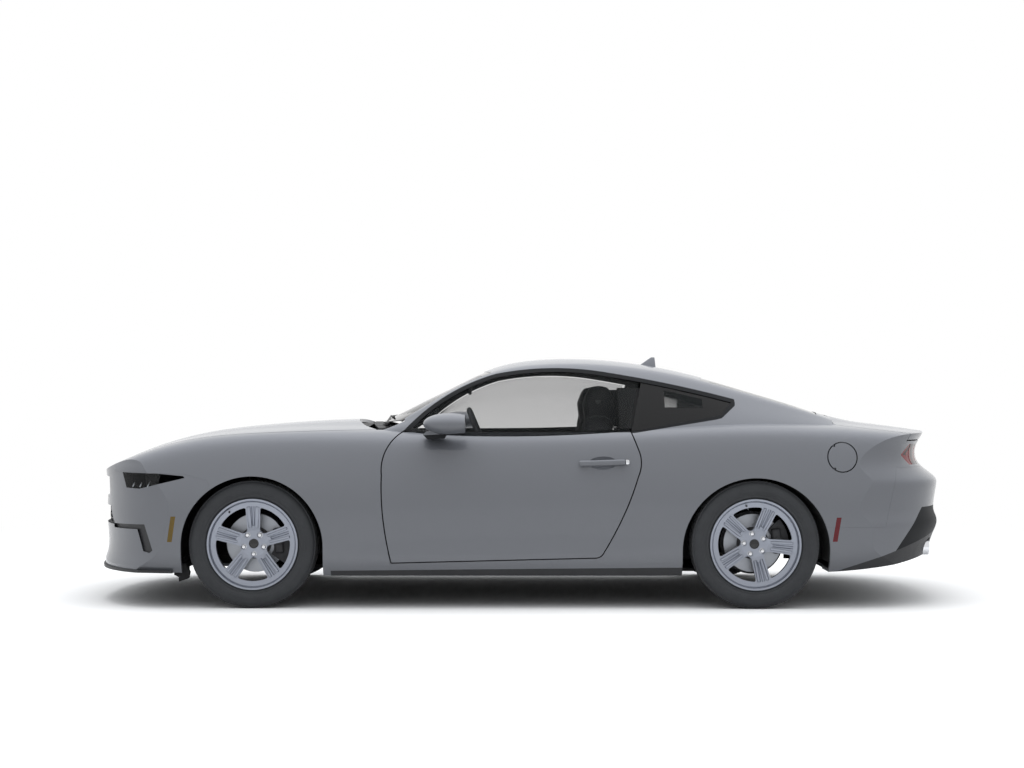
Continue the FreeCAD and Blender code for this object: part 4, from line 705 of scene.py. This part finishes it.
CARD_X, CARD_Y, CARD_Z = 0.04, 0.7915, 0.635
CARD_LENGTH, CARD_WALL, CARD_HEIGHT = 1.09, 0.008, 0.56
PADDING_Z = 0.66
for side, name in SIDES:
    y = side * CARD_Y
    panel = start("cube", f"door_card_{name}", size=1.0, location=(CARD_X, y, CARD_Z))
    panel.scale = (CARD_LENGTH, CARD_WALL, CARD_HEIGHT)
    settle(panel)
    bpy.ops.object.mode_set(mode="EDIT")
    bpy.ops.mesh.select_all(action="SELECT")
    bpy.ops.mesh.subdivide(number_cuts=7)
    bpy.ops.object.mode_set(mode="OBJECT")
    for vertex in panel.data.vertices:
        above_foot = (vertex.co.z - CARD_Z + CARD_HEIGHT / 2) / CARD_HEIGHT
        vertex.co.x -= (0.07 if vertex.co.x > 0 else -0.03) * (1 - above_foot)
        if vertex.co.y * side < CARD_Y:
            vertex.co.y -= side * 0.012 * math.exp(-((vertex.co.z - PADDING_Z) / 0.07) ** 2)
    modify(panel, "SUBSURF", levels=1, render_levels=1)
    rest_y, handle_y = y - side * 0.030, y - side * 0.012
    rest = bar("armrest", (-0.24, rest_y, 0.655), (0.30, rest_y, 0.672), 0.052, 0.045, 0.9,
               0.014)
    handle = bar(f"inside_handle_{name}", (-0.33, handle_y, 0.775), (-0.22, handle_y, 0.780),
                 0.010, 0.022, 0.9, 0.004)
    card = joined(f"door_card_{name}", [panel, rest])
    fit(card, f"door_{name}", card_plastic, 50)
    fit(handle, f"door_{name}", chrome)


# ---- Tyres
# Radial tyres: a smooth sidewall with a rim guard and fine rings, and a tread of five ribs
# cut into blocks that sweep back from the middle.

def drawn(name, points):
    """A line through points, made by extruding one vertex along them."""
    piece = start("plane", name, size=0.001)
    bpy.ops.object.mode_set(mode="EDIT")
    bpy.ops.mesh.select_all(action="SELECT")
    bpy.ops.mesh.merge(type="CENTER")
    bpy.ops.transform.translate(value=points[0])
    for a, b in zip(points, points[1:]):
        bpy.ops.mesh.extrude_region_move(
            TRANSFORM_OT_translate={"value": Vector(b) - Vector(a)})
    return piece


def turned(name, points, steps, closed=False):
    """A shape turned about the Y axis. Points are (y, radius)."""
    ring = [(0.0, y, r) for y, r in points]
    piece = drawn(name, ring + ring[:1] if closed else ring)
    bpy.ops.mesh.select_all(action="SELECT")
    bpy.ops.mesh.spin(steps=steps, angle=2 * math.pi, center=(0, 0, 0), axis=(0, 1, 0))
    bpy.ops.mesh.select_all(action="SELECT")
    bpy.ops.mesh.remove_doubles(threshold=0.00005)
    bpy.ops.mesh.normals_make_consistent(inside=False)
    bpy.ops.object.mode_set(mode="OBJECT")
    return piece


SIDEWALL = [(0.0975, 0.2370), (0.0985, 0.2480), (0.1035, 0.2545), (0.1080, 0.2570),
            (0.1085, 0.2620), (0.1075, 0.2660), (0.1115, 0.2740), (0.1150, 0.2830),
            (0.1150, 0.2842), (0.1160, 0.2848), (0.1173, 0.2930), (0.1173, 0.2945),
            (0.1168, 0.2952), (0.1168, 0.3020), (0.1158, 0.3120), (0.1145, 0.3180),
            (0.1105, 0.3280), (0.1050, 0.3340), (0.1000, 0.3370)]
TREAD = [(0.0680, 0.3385), (0.0610, 0.3390), (0.0270, 0.3398), (0.0200, 0.3400)]
TREAD_BLOCKS, TYRE_HALF = 88, 0.118
SHOULDER_R, CROWN_R, GROOVE, MIDDLE_RIB = 0.330, 0.3355, 0.01, 0.021
half = SIDEWALL + TREAD
tyre_line = [(-y, r) for y, r in half] + [(y, r) for y, r in reversed(half)]
tyre_form = turned("tyre_form", tyre_line, TREAD_BLOCKS, closed=True)
for vertex in tyre_form.data.vertices:
    x, y, z = vertex.co
    if math.hypot(x, z) > SHOULDER_R:
        sweep = 0.9 * abs(y) / TYRE_HALF * 2 * math.pi / TREAD_BLOCKS
        c, s = math.cos(sweep), math.sin(sweep)
        vertex.co.x, vertex.co.z = c * x + s * z, c * z - s * x
bpy.ops.object.mode_set(mode="EDIT")
bpy.ops.mesh.select_mode(type="FACE")
bpy.ops.mesh.select_all(action="DESELECT")
bpy.ops.object.mode_set(mode="OBJECT")
for face in tyre_form.data.polygons:
    centre = face.center
    reach = math.hypot(centre.x, centre.z)
    width = max(abs(tyre_form.data.vertices[v].co.y) for v in face.vertices) - abs(centre.y)
    face.select = reach > CROWN_R and (width > GROOVE or abs(centre.y) < MIDDLE_RIB)
bpy.ops.object.mode_set(mode="EDIT")
bpy.ops.mesh.inset(use_individual=True, thickness=0.0016)
bpy.ops.transform.shrink_fatten(value=0.0058)
bpy.ops.mesh.select_mode(type="VERT")
bpy.ops.object.mode_set(mode="OBJECT")

tyre_rubber = Finish("tyre_rubber", {"IOR": 1.5, "Sheen Weight": 0.08})
dust = tyre_rubber.noise(14, 4)
tyre_rubber.vary("Base Color", tyre_rubber.mix(dust, (0.022, 0.024, 0.028),
                                               (0.042, 0.045, 0.050)))
tyre_rubber.vary("Roughness", 0.58 + 0.15 * tyre_rubber.noise(70, 3))
tyre_rubber.bump(tyre_rubber.noise(500, 3), 0.0003)


def placed_copy(form, name, spot, mirror):
    """A copy with its own mesh, set on a wheel's centre and mirrored for the right side."""
    piece = start("plane", name, size=0.01)
    piece.data = form.data.copy()
    piece.data.name = name
    if mirror:
        piece.data.transform(Matrix.Diagonal((1, -1, 1, 1)))
        piece.data.flip_normals()
    piece.data.transform(Matrix.Translation(spot))
    return piece


WHEELS = {}
for end in ("front", "rear"):
    for side in ("left", "right"):
        low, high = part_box(f"tyre_{end}_{side}")
        WHEELS[end, side] = (low + high) / 2
for (end, side), spot in WHEELS.items():
    tyre = placed_copy(tyre_form, f"tyre_tread_{end}_{side}", spot, side == "right")
    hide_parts(f"tyre_{end}_{side}")
    fit(tyre, f"wheel_{end}_{side}", tyre_rubber, 30)
bpy.data.objects.remove(tyre_form)


# ---- Wheels, nuts and caps
# Cast aluminium wheels in silver lacquer, with two ribs along each spoke. Five domed nuts hold
# each wheel, a plain black cap closes its middle, and a rubber valve comes through the rim.

silver = Finish("silver_wheel_lacquer", {"IOR": 1.45, "Coat Weight": 0.7,
                                         "Coat Roughness": 0.08})
glint = silver.noise(1800, 1)
silver.vary("Base Color", silver.mix(glint, (0.225, 0.245, 0.295), (0.315, 0.338, 0.395)))
silver.vary("Metallic", 0.70 + 0.15 * glint)
silver.vary("Roughness", 0.30 + 0.10 * silver.noise(25, 3))
silver.bump(silver.noise(220), 0.0003)
give(silver, *[f"wheel_{end}_{side}" for end, side in WHEELS])

NUT = [(0.0, 0.0145), (-0.0040, 0.0145), (-0.0045, 0.0122), (-0.0170, 0.0118),
       (-0.0205, 0.0097), (-0.0225, 0.0057), (-0.0230, 0.0002)]
nut_form = turned("nut_form", NUT, 18)
CAP = [(0.0, 0.0262), (-0.0050, 0.0262), (-0.0072, 0.0250), (-0.0072, 0.0215),
       (-0.0060, 0.0200), (-0.0078, 0.0120), (-0.0086, 0.0002)]
cap_form = turned("cap_form", CAP, 40)
cap_black = plastic("gloss_black_cap", (0.006, 0.006, 0.007), (0.016, 0.017, 0.019), 0.22, 200,
                    0.0001)
valve_form = turned("valve_form", [(0.0, 0.0040), (-0.020, 0.0038), (-0.022, 0.0052),
                                   (-0.032, 0.0052), (-0.034, 0.0002)], 12)
SPOKES = 5
SPOKE_TURN = 2 * math.pi / SPOKES
FIRST_SPOKE = {"front": math.radians(90), "rear": math.radians(67)}
OUTWARD = {name: side for side, name in SIDES}
# Reach from the axle and place outward from the wheel's middle; for a rib, half its gap too.
NUT_SEAT, CAP_SEAT, VALVE_SEAT = (0.05715, 0.0412), (0.0, 0.0462), (0.214, 0.062)
RIB_INNER, RIB_OUTER = (0.086, 0.058, 0.017), (0.203, 0.082, 0.024)


def from_axle(wheel, angle, reach, outward, across=0.0):
    """A point on a wheel, at a turn and reach about its axle."""
    c, s = math.cos(angle), math.sin(angle)
    return WHEELS[wheel] + Vector((reach * c - across * s, OUTWARD[wheel[1]] * outward,
                                   reach * s + across * c))


for wheel in WHEELS:
    end, side = wheel
    body, mirror = f"wheel_{end}_{side}", side == "right"
    spokes = [FIRST_SPOKE[end] + SPOKE_TURN * number for number in range(SPOKES)]
    pockets = [angle + SPOKE_TURN / 2 for angle in spokes]
    nuts = [placed_copy(nut_form, "nut", from_axle(wheel, angle, *NUT_SEAT), mirror)
            for angle in pockets]
    fit(joined(f"wheel_nuts_{end}_{side}", nuts), body, chrome, 50)
    cap = placed_copy(cap_form, f"centre_cap_{end}_{side}", from_axle(wheel, 0.0, *CAP_SEAT),
                      mirror)
    fit(cap, body, cap_black, 40)
    ribs = [bar("rib", *[from_axle(wheel, angle, reach, outward, shift * gap)
                         for reach, outward, gap in (RIB_INNER, RIB_OUTER)],
                0.021, 0.014, edge=0.004)
            for angle in spokes for shift in (-1, 1)]
    fit(joined(f"spoke_ribs_{end}_{side}", ribs), body, silver, 50)
    valve = placed_copy(valve_form, f"valve_{end}_{side}",
                        from_axle(wheel, pockets[0], *VALVE_SEAT), mirror)
    fit(valve, body, rubber, 50)
for form in (nut_form, cap_form, valve_form):
    bpy.data.objects.remove(form)


# ---- Brakes and running gear
# Cast iron discs, ground bright where the pads sweep. Calipers, arms and struts are cast or
# pressed and painted dark, and a thin shield keeps dust off each rear disc.

PADS_INNER_R, PADS_OUTER_R = 0.088, 0.158
for (end, side), spot in WHEELS.items():
    iron = Finish(f"ground_iron_{end}_{side}", {})
    x, _, z = iron.place()
    reach = ((x - spot.x) * (x - spot.x) + (z - spot.z) * (z - spot.z)).root()
    swept = (reach > PADS_INNER_R) & (reach < PADS_OUTER_R)
    rings = iron.node("TexNoise", {"noise_dimensions": "1D"}, {"W": reach * 900.0,
                                                               "Detail": 2.0})
    iron.vary("Base Color", iron.mix(swept, (0.10, 0.10, 0.105),
                                     iron.mix(rings, (0.26, 0.27, 0.30), (0.40, 0.42, 0.45))))
    iron.vary("Metallic", 0.55 + 0.35 * swept)
    iron.vary("Roughness", 0.62 - 0.22 * swept)
    iron.bump(rings, 0.0002)
    give(iron, f"brake_disc_{end}_{side}")

cast = Finish("dark_cast_metal", {"Metallic": 0.4})
cast.vary("Base Color", cast.mix(cast.noise(20, 4), (0.035, 0.036, 0.04), (0.10, 0.10, 0.105)))
cast.vary("Roughness", 0.55 + 0.2 * cast.noise(50, 3))
cast.bump(cast.noise(350, 3), 0.0006)
give(cast, "knuckle_front_left", "knuckle_front_right", "front_suspension",
     "rear_suspension", "engine")

CALIPER_R, CALIPER_LOW, CALIPER_HIGH = 0.146, math.radians(-22), math.radians(34)
CALIPER_INSET, SHIELD_INSET, SHIELD_R = 0.028, 0.062, 0.172
for wheel in WHEELS:
    end, side = wheel
    carrier = f"steering_knuckle_{side}" if end == "front" else "body"
    low, high = [from_axle(wheel, turn, CALIPER_R, -CALIPER_INSET)
                 for turn in (CALIPER_LOW, CALIPER_HIGH)]
    caliper = bar("caliper", low, high, 0.098, 0.050, edge=0.010)
    middle = (low + high) / 2 + Vector((0.006, 0, 0))
    piston = start("cylinder", "piston", vertices=24, radius=0.023, depth=0.116,
                   location=middle, rotation=(math.pi / 2, 0, 0))
    settle(piston)
    modify(piston, "BEVEL", width=0.004, segments=2, limit_method="ANGLE")
    fit(joined(f"brake_caliper_{end}_{side}", [caliper, piston]), carrier, cast, 50)
    if end == "rear":
        shield = start("cylinder", f"dust_shield_{end}_{side}", vertices=48, radius=SHIELD_R,
                       depth=0.0015, location=from_axle(wheel, 0.0, 0.0, -SHIELD_INSET),
                       rotation=(math.pi / 2, 0, 0))
        fit(shield, carrier, cast, 50)


# ---- Exhaust
# Stainless pipes and box, straw-tinted by heat, ending in polished tips.

pipe = Finish("heat_tinted_steel", {"Metallic": 1.0})
TIP_X, TIP_Y = 2.16, 0.5
x, y, _ = pipe.place()
tip = (x > TIP_X) & (abs(y) > TIP_Y)
straw = pipe.mix(pipe.noise(5, 4), (0.20, 0.19, 0.18), (0.36, 0.33, 0.29))
pipe.vary("Base Color", pipe.mix(tip, straw, (0.70, 0.71, 0.74)))
pipe.vary("Roughness", 0.42 - 0.30 * tip + 0.1 * pipe.noise(30))
pipe.bump(pipe.noise(260, 2), 0.0002)
give(pipe, "exhaust")


# ---- Floor, walls and boot
# Welded floor in seam-sealed black underseal outside, with carpet above it in the cabin and
# the boot.

floor_finish = Finish("underseal_and_carpet", {"Roughness": 0.92})
CARPET_Z, CARPET_Y = 0.1975, 0.80
_, y, z = floor_finish.place()
pile = floor_finish.noise(800, 3)
above = (z > CARPET_Z) & (abs(y) < CARPET_Y)
seal_colour = floor_finish.mix(floor_finish.noise(12, 4), (0.018, 0.018, 0.019),
                               (0.045, 0.044, 0.043))
pile_colour = floor_finish.mix(pile, (0.010, 0.010, 0.012), (0.045, 0.046, 0.050))
floor_finish.vary("Base Color", floor_finish.mix(above, seal_colour, pile_colour))
floor_finish.bump(pile, 0.002)
give(floor_finish, "floor_pan", "bulkheads")


# ---- Seats
# Moulded foam on a steel pan under stitched leather. The front backs carry the headrest in
# one piece, with raised bolsters and sewn channels across the middle.

scene = bpy.context.scene


def pad(name, size):
    """A cushion block with enough faces to be shaped."""
    piece = start("cube", name, size=1.0)
    piece.scale = size
    settle(piece)
    bpy.ops.object.mode_set(mode="EDIT")
    bpy.ops.mesh.select_all(action="SELECT")
    bpy.ops.mesh.subdivide(number_cuts=9, smoothness=0.0)
    bpy.ops.object.mode_set(mode="OBJECT")
    return piece


def stuffed(piece, voxel, cap):
    """Rounds the block and swells it a little, as foam does under a cover."""
    modify(piece, "REMESH", mode="VOXEL", voxel_size=voxel)
    modify(piece, "SMOOTH", factor=0.5, iterations=6)
    rest = [vertex.co.copy() for vertex in piece.data.vertices]
    cloth = piece.modifiers.new("Cloth", "CLOTH")
    cloth.settings.use_pressure = True
    cloth.settings.uniform_pressure_force = 4.0
    cloth.settings.effector_weights.gravity = 0.0
    for step in range(1, 16):
        scene.frame_set(step)
    shown = piece.evaluated_get(bpy.context.evaluated_depsgraph_get())
    swollen = [vertex.co.copy() for vertex in shown.data.vertices]
    piece.modifiers.remove(cloth)
    scene.frame_set(1)
    for vertex, a, b in zip(piece.data.vertices, rest, swollen):
        move = b - a
        if move.length > cap:
            move = move * (cap / move.length)
        vertex.co = a + move


def leather(name, seams=None):
    """Dark grained leather, with sewn seams and channels where seams says."""
    finish = Finish(name, {"IOR": 1.48})
    grain = finish.noise(420, 4)
    colour = finish.mix(finish.noise(7, 3), (0.020, 0.021, 0.025), (0.042, 0.044, 0.050))
    relief = 0.05 * grain
    if seams:
        seam, channel = seams(*finish.place())
        colour = finish.mix(seam * 0.7, colour, (0.12, 0.12, 0.13))
        relief = relief - 0.5 * seam - channel
    finish.vary("Base Color", colour)
    finish.vary("Roughness", 0.50 + 0.15 * grain)
    finish.bump(relief, 0.005)
    return finish


SEAT_Y, BENCH_Y = 0.385, 0.30
THREAD, CHANNEL = 0.0025, 0.006


def front_seams(x, y, z):
    across = abs(abs(y) - SEAT_Y)
    rows = (z + x * 0.5).folded(0.035)
    return abs(across - 0.135) < THREAD, (rows < CHANNEL) & (across < 0.13) & (z < 1.02)


def rear_seams(x, y, z):
    across = abs(abs(y) - BENCH_Y)
    rows = (z + x * 0.5).folded(0.04)
    return abs(across - 0.17) < THREAD, (rows < CHANNEL) & (across < 0.165)


hide = leather("front_seat_leather", front_seams)
rear_hide = leather("rear_seat_leather", rear_seams)

def ramp(value, start, span):
    """Climbs from 0 at start to 1 a span later."""
    return min(max((value - start) / span, 0.0), 1.0)


SEAT_X = -0.140
BACK_DEPTH, BACK_WIDTH, BACK_HEIGHT = 0.100, 0.44, 0.80
CUSHION_LENGTH, CUSHION_WIDTH, CUSHION_DEPTH = 0.50, 0.47, 0.13
CUSHION_UNDERSIDE = 0.306
SHOULDER, HEADREST_TOP = 0.72, 0.88
back_form = pad("back_form", (BACK_DEPTH, BACK_WIDTH, BACK_HEIGHT))
for vertex in back_form.data.vertices:
    x, y, z = vertex.co
    share = (z + BACK_HEIGHT / 2) / BACK_HEIGHT
    wing = abs(y) / (BACK_WIDTH / 2)
    narrow = 1.0 - 0.40 * ramp(share, 0.70, 0.10)
    head = ramp(share, SHOULDER, 0.10)
    crown = ramp(share, HEADREST_TOP, 0.12)
    lean = 0.487 + 0.150 * share - 0.054 * ramp(share, SHOULDER, 0.28)
    bolster = -0.050 * wing ** 3 if x < 0 and share < SHOULDER else 0.0
    depth = (1.0 - 0.15 * share + 0.65 * head) * (1.0 - 0.35 * crown * crown)
    vertex.co = (SEAT_X + lean + x * depth + bolster, y * narrow * (1.0 - 0.12 * crown),
                 0.405 + 0.810 * share)
cushion_form = pad("cushion_form", (CUSHION_LENGTH, CUSHION_WIDTH, CUSHION_DEPTH))
for vertex in cushion_form.data.vertices:
    x, y, z = vertex.co
    share = (x + CUSHION_LENGTH / 2) / CUSHION_LENGTH
    wing = abs(y) / (CUSHION_WIDTH / 2)
    swell = 0.030 * wing ** 3 - 0.03 * share if z > 0 else 0.0
    vertex.co = (SEAT_X + 0.012 + 0.455 * share, y,
                 CUSHION_UNDERSIDE if z < 0 else 0.375 + z + swell)
for form in (back_form, cushion_form):
    stuffed(form, 0.009, 0.022)
for side, name in SIDES:
    seat_y = side * SEAT_Y
    place = Vector((0, seat_y, 0))
    back = placed_copy(back_form, f"front_seat_back_{name}", place, side > 0)
    cushion = placed_copy(cushion_form, f"front_seat_cushion_{name}", place, side > 0)
    base = bar(f"front_seat_frame_{name}", (SEAT_X + 0.08, seat_y, 0.245),
               (SEAT_X + 0.46, seat_y, 0.245), 0.34, 0.085, edge=0.012)
    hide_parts("front_seats")
    for piece in (back, cushion):
        fit(piece, "body", hide, 60)
    fit(base, "body", card_plastic)
for form in (back_form, cushion_form):
    bpy.data.objects.remove(form)



def hollow(y, depth):
    """The dip of each sitter's place across the bench."""
    return depth * math.cos(min(abs(abs(y) - BENCH_Y) / 0.24, 1.0) * math.pi / 2)


BENCH_WIDTH, BENCH_BACK_HEIGHT = 1.08, 0.40
BENCH_TOP, BENCH_UNDERSIDE, TUNNEL_TOP, TUNNEL_Y = 0.435, 0.317, 0.4245, 0.125
rear_low, rear_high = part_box("rear_seat")
rear_back = pad("rear_seat_back", (0.085, BENCH_WIDTH, BENCH_BACK_HEIGHT))
for vertex in rear_back.data.vertices:
    x, y, z = vertex.co
    share = (z + BENCH_BACK_HEIGHT / 2) / BENCH_BACK_HEIGHT
    dip = hollow(y, 0.018) if x < 0 else 0.0
    vertex.co = (rear_high.x - 0.056 + 0.022 * share + x + dip, y, 0.440 + 0.400 * share)
rear_cushion = pad("rear_seat_cushion", (0.36, BENCH_WIDTH, 0.12))
for vertex in rear_cushion.data.vertices:
    x, y, z = vertex.co
    height = BENCH_TOP - hollow(y, 0.020) if z > 0 else BENCH_UNDERSIDE
    if z < 0 and abs(y) < TUNNEL_Y:
        height = TUNNEL_TOP
    vertex.co = (rear_low.x + 0.19 + x, y, height)
for piece in (rear_back, rear_cushion):
    stuffed(piece, 0.011, 0.015)
    fit(piece, "body", rear_hide, 60)
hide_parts("rear_seat")


# ---- Dashboard, screens and console
# A grained moulding across the cabin with a driver's and a middle display behind dark
# glass, a row of air vents, a gear lever and a padded console lid.

dash_finish = plastic("dashboard_moulding", (0.014, 0.015, 0.017), (0.028, 0.029, 0.032), 0.7,
                      500, 0.0008)
give(dash_finish, "dashboard")
screen = Finish("dark_display_glass", {"Roughness": 0.06, "IOR": 1.5, "Coat Weight": 1.0})
screen.vary("Base Color", screen.mix(screen.noise(12), (0.004, 0.005, 0.006),
                                     (0.010, 0.012, 0.015)))
screen.bump(screen.noise(6), 0.0001)
# Place, width and height of the driver's display and of the middle one.
displays = [bar("display", (x, y, z), (x + 0.012, y, z + 0.0005), width, height, edge=0.004)
            for x, y, z, width, height in ((-0.470, -SEAT_Y, 0.925, 0.30, 0.105),
                                           (-0.462, 0.02, 0.922, 0.34, 0.13))]
fit(joined("displays", displays), "body", screen)
VENT_X, VENT_HALF, VANES_Z = -0.462, 0.045, (0.800, 0.816, 0.832, 0.848)
vanes = [bar("vane", (VENT_X, y - VENT_HALF, z), (VENT_X, y + VENT_HALF, z), 0.018, 0.005)
         for y in (-0.60, -0.16, 0.14, 0.58) for z in VANES_Z]
fit(joined("air_vents", vanes), "body", card_plastic)
LEVER_X = -0.12
lever = start("uv_sphere", "gear_lever", segments=24, ring_count=14, radius=0.026,
              location=(LEVER_X, 0.0, 0.690))
lever.scale = (1.0, 0.85, 1.25)
settle(lever)
stem = start("cone", "stem", vertices=24, radius1=0.042, radius2=0.011, depth=0.085,
             location=(LEVER_X, 0.0, 0.642))
settle(stem)
modify(stem, "BEVEL", width=0.003, segments=2, limit_method="ANGLE")
fit(joined("gear_lever", [lever, stem]), "body", hide, 50)
lid = bar("console_lid", (-0.02, 0.0, 0.612), (0.095, 0.0, 0.612), 0.19, 0.022, edge=0.009)
fit(lid, "body", rear_hide, 50)


# ---- Steering wheel
# A leather-bound rim on a cast core, with a padded hub cover.

COLUMN_TILT = math.radians(22)
give(leather("steering_wheel_leather"), "steering_wheel")
low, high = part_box("steering_wheel")
boss = start("uv_sphere", "steering_hub_cover", segments=40, ring_count=20, radius=0.072,
             location=(low + high) / 2, rotation=(0, -COLUMN_TILT, 0))
boss.scale = (0.34, 1.0, 0.86)
fit(boss, "steering_wheel", card_plastic, 60)


# ---- Inside mirror and brake light
# A tinted mirror on a stalk from the windscreen, and a slim high brake light in a black case
# at the top of the rear glass.

inner = bar("inside_mirror", (-0.300, -0.115, 1.190), (-0.300, 0.115, 1.190), 0.016, 0.058,
            edge=0.008)
stalk = bar("stalk", (-0.298, 0.0, 1.205), (-0.325, 0.0, 1.232), 0.014, 0.014, 0.8, 0.004)
fit(joined("inside_mirror", [inner, stalk]), "body", card_plastic, 50)

pane_low, pane_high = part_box("rear_window")
for name, finish, slot, behind, drop, width in (
        ("brake_light_case", card_plastic, "cabin_plastic", 0.115, 0.052, 0.30),
        ("brake_light_lens", marker, "red_lamp", 0.128, 0.048, 0.26)):
    x, z = pane_low.x + behind, pane_high.z - drop
    light = bar(name, (x, -width / 2, z), (x, width / 2, z), 0.030, 0.018, edge=0.003)
    fit(light, "body", finish, 50)


# ---- Studio
# A pale floor under soft even light. The floor and the sky are plain white to the eye and
# keep only the car's own shadow.

class Sky(Finish):
    """The studio's own light, built in the same way round one Background shader."""

    def __init__(self):
        scene.world = bpy.data.worlds.new("studio")
        scene.world.use_nodes = True
        self.tree = scene.world.node_tree
        self.shader = self.tree.nodes["Background"]


def in_view(finish):
    """What the eye meets, straight on or in gloss or through glass."""
    eye = finish.node("LightPath", {}, {}, "Is Camera Ray")
    return eye | eye.of("Is Glossy Ray") | eye.of("Is Transmission Ray")


def show(finish, share, other):
    """Another shader takes the place of the finish's own over a share."""
    own = finish.shader.outputs[0]
    end = own.links[0].to_socket
    finish.put(finish.node("MixShader", {}, {0: share, 1: Tone(finish, own), 2: other}), end)


FADE_START, FADE_WIDTH = 3.6, 3.0
floor = start("plane", "studio_floor", size=60.0)
ground = Finish("studio_floor_paint", {"Roughness": 0.9, "Specular IOR Level": 0.0})
seen = in_view(ground)
grey = ground.mix(ground.noise(0.8, 2), (0.25, 0.25, 0.25), (0.27, 0.27, 0.27))
ground.vary("Base Color", ground.mix(seen, grey, (0.95, 0.95, 0.95)))
x, y, _ = ground.place()
far = (((x * x + y * y).root() - FADE_START) / FADE_WIDTH | 0.0) & 1.0
show(ground, far & seen, ground.node("Emission", {}, {}))
give(ground, "studio_floor")

sky = Sky()
height = sky.node("SeparateXYZ", {}, {0: sky.node("TexCoord", {}, {}, "Generated")}, "Z")
sky.vary("Strength", sky.node("MapRange", {}, {"Value": height, "From Min": 0.0,
                                               "From Max": 1.0, "To Min": 0.30,
                                               "To Max": 1.30}))
sky.vary("Color", (0.96, 0.98, 1.0))
show(sky, in_view(sky), sky.node("Background", {}, {"Color": (1.0, 1.0, 1.0), "Strength": 1.0}))


def softbox(name, place, target, size, power):
    """A large soft lamp that looks at the car."""
    bpy.ops.object.light_add(type="AREA", location=place)
    lamp = bpy.context.object
    lamp.name = name
    lamp.data.shape = "RECTANGLE"
    lamp.data.size, lamp.data.size_y = size
    lamp.data.energy = power
    lamp.visible_glossy = False
    lamp.rotation_mode = "QUATERNION"
    lamp.rotation_quaternion = (Vector(target) - Vector(place)).to_track_quat("-Z", "Y")
    return lamp


softbox("overhead", (0.0, 0.0, 5.5), (0.0, 0.0, 0.0), (7.0, 4.5), 260)

EYE = (-0.050, -9.91, 1.10)
bpy.ops.object.camera_add(location=EYE, rotation=(math.pi / 2, 0, 0))
camera = bpy.context.object
camera.data.sensor_width = 36.0
camera.data.lens = 58.6
camera.data.shift_y = 0.0205
scene.camera = camera
scene.view_settings.view_transform = "Standard"
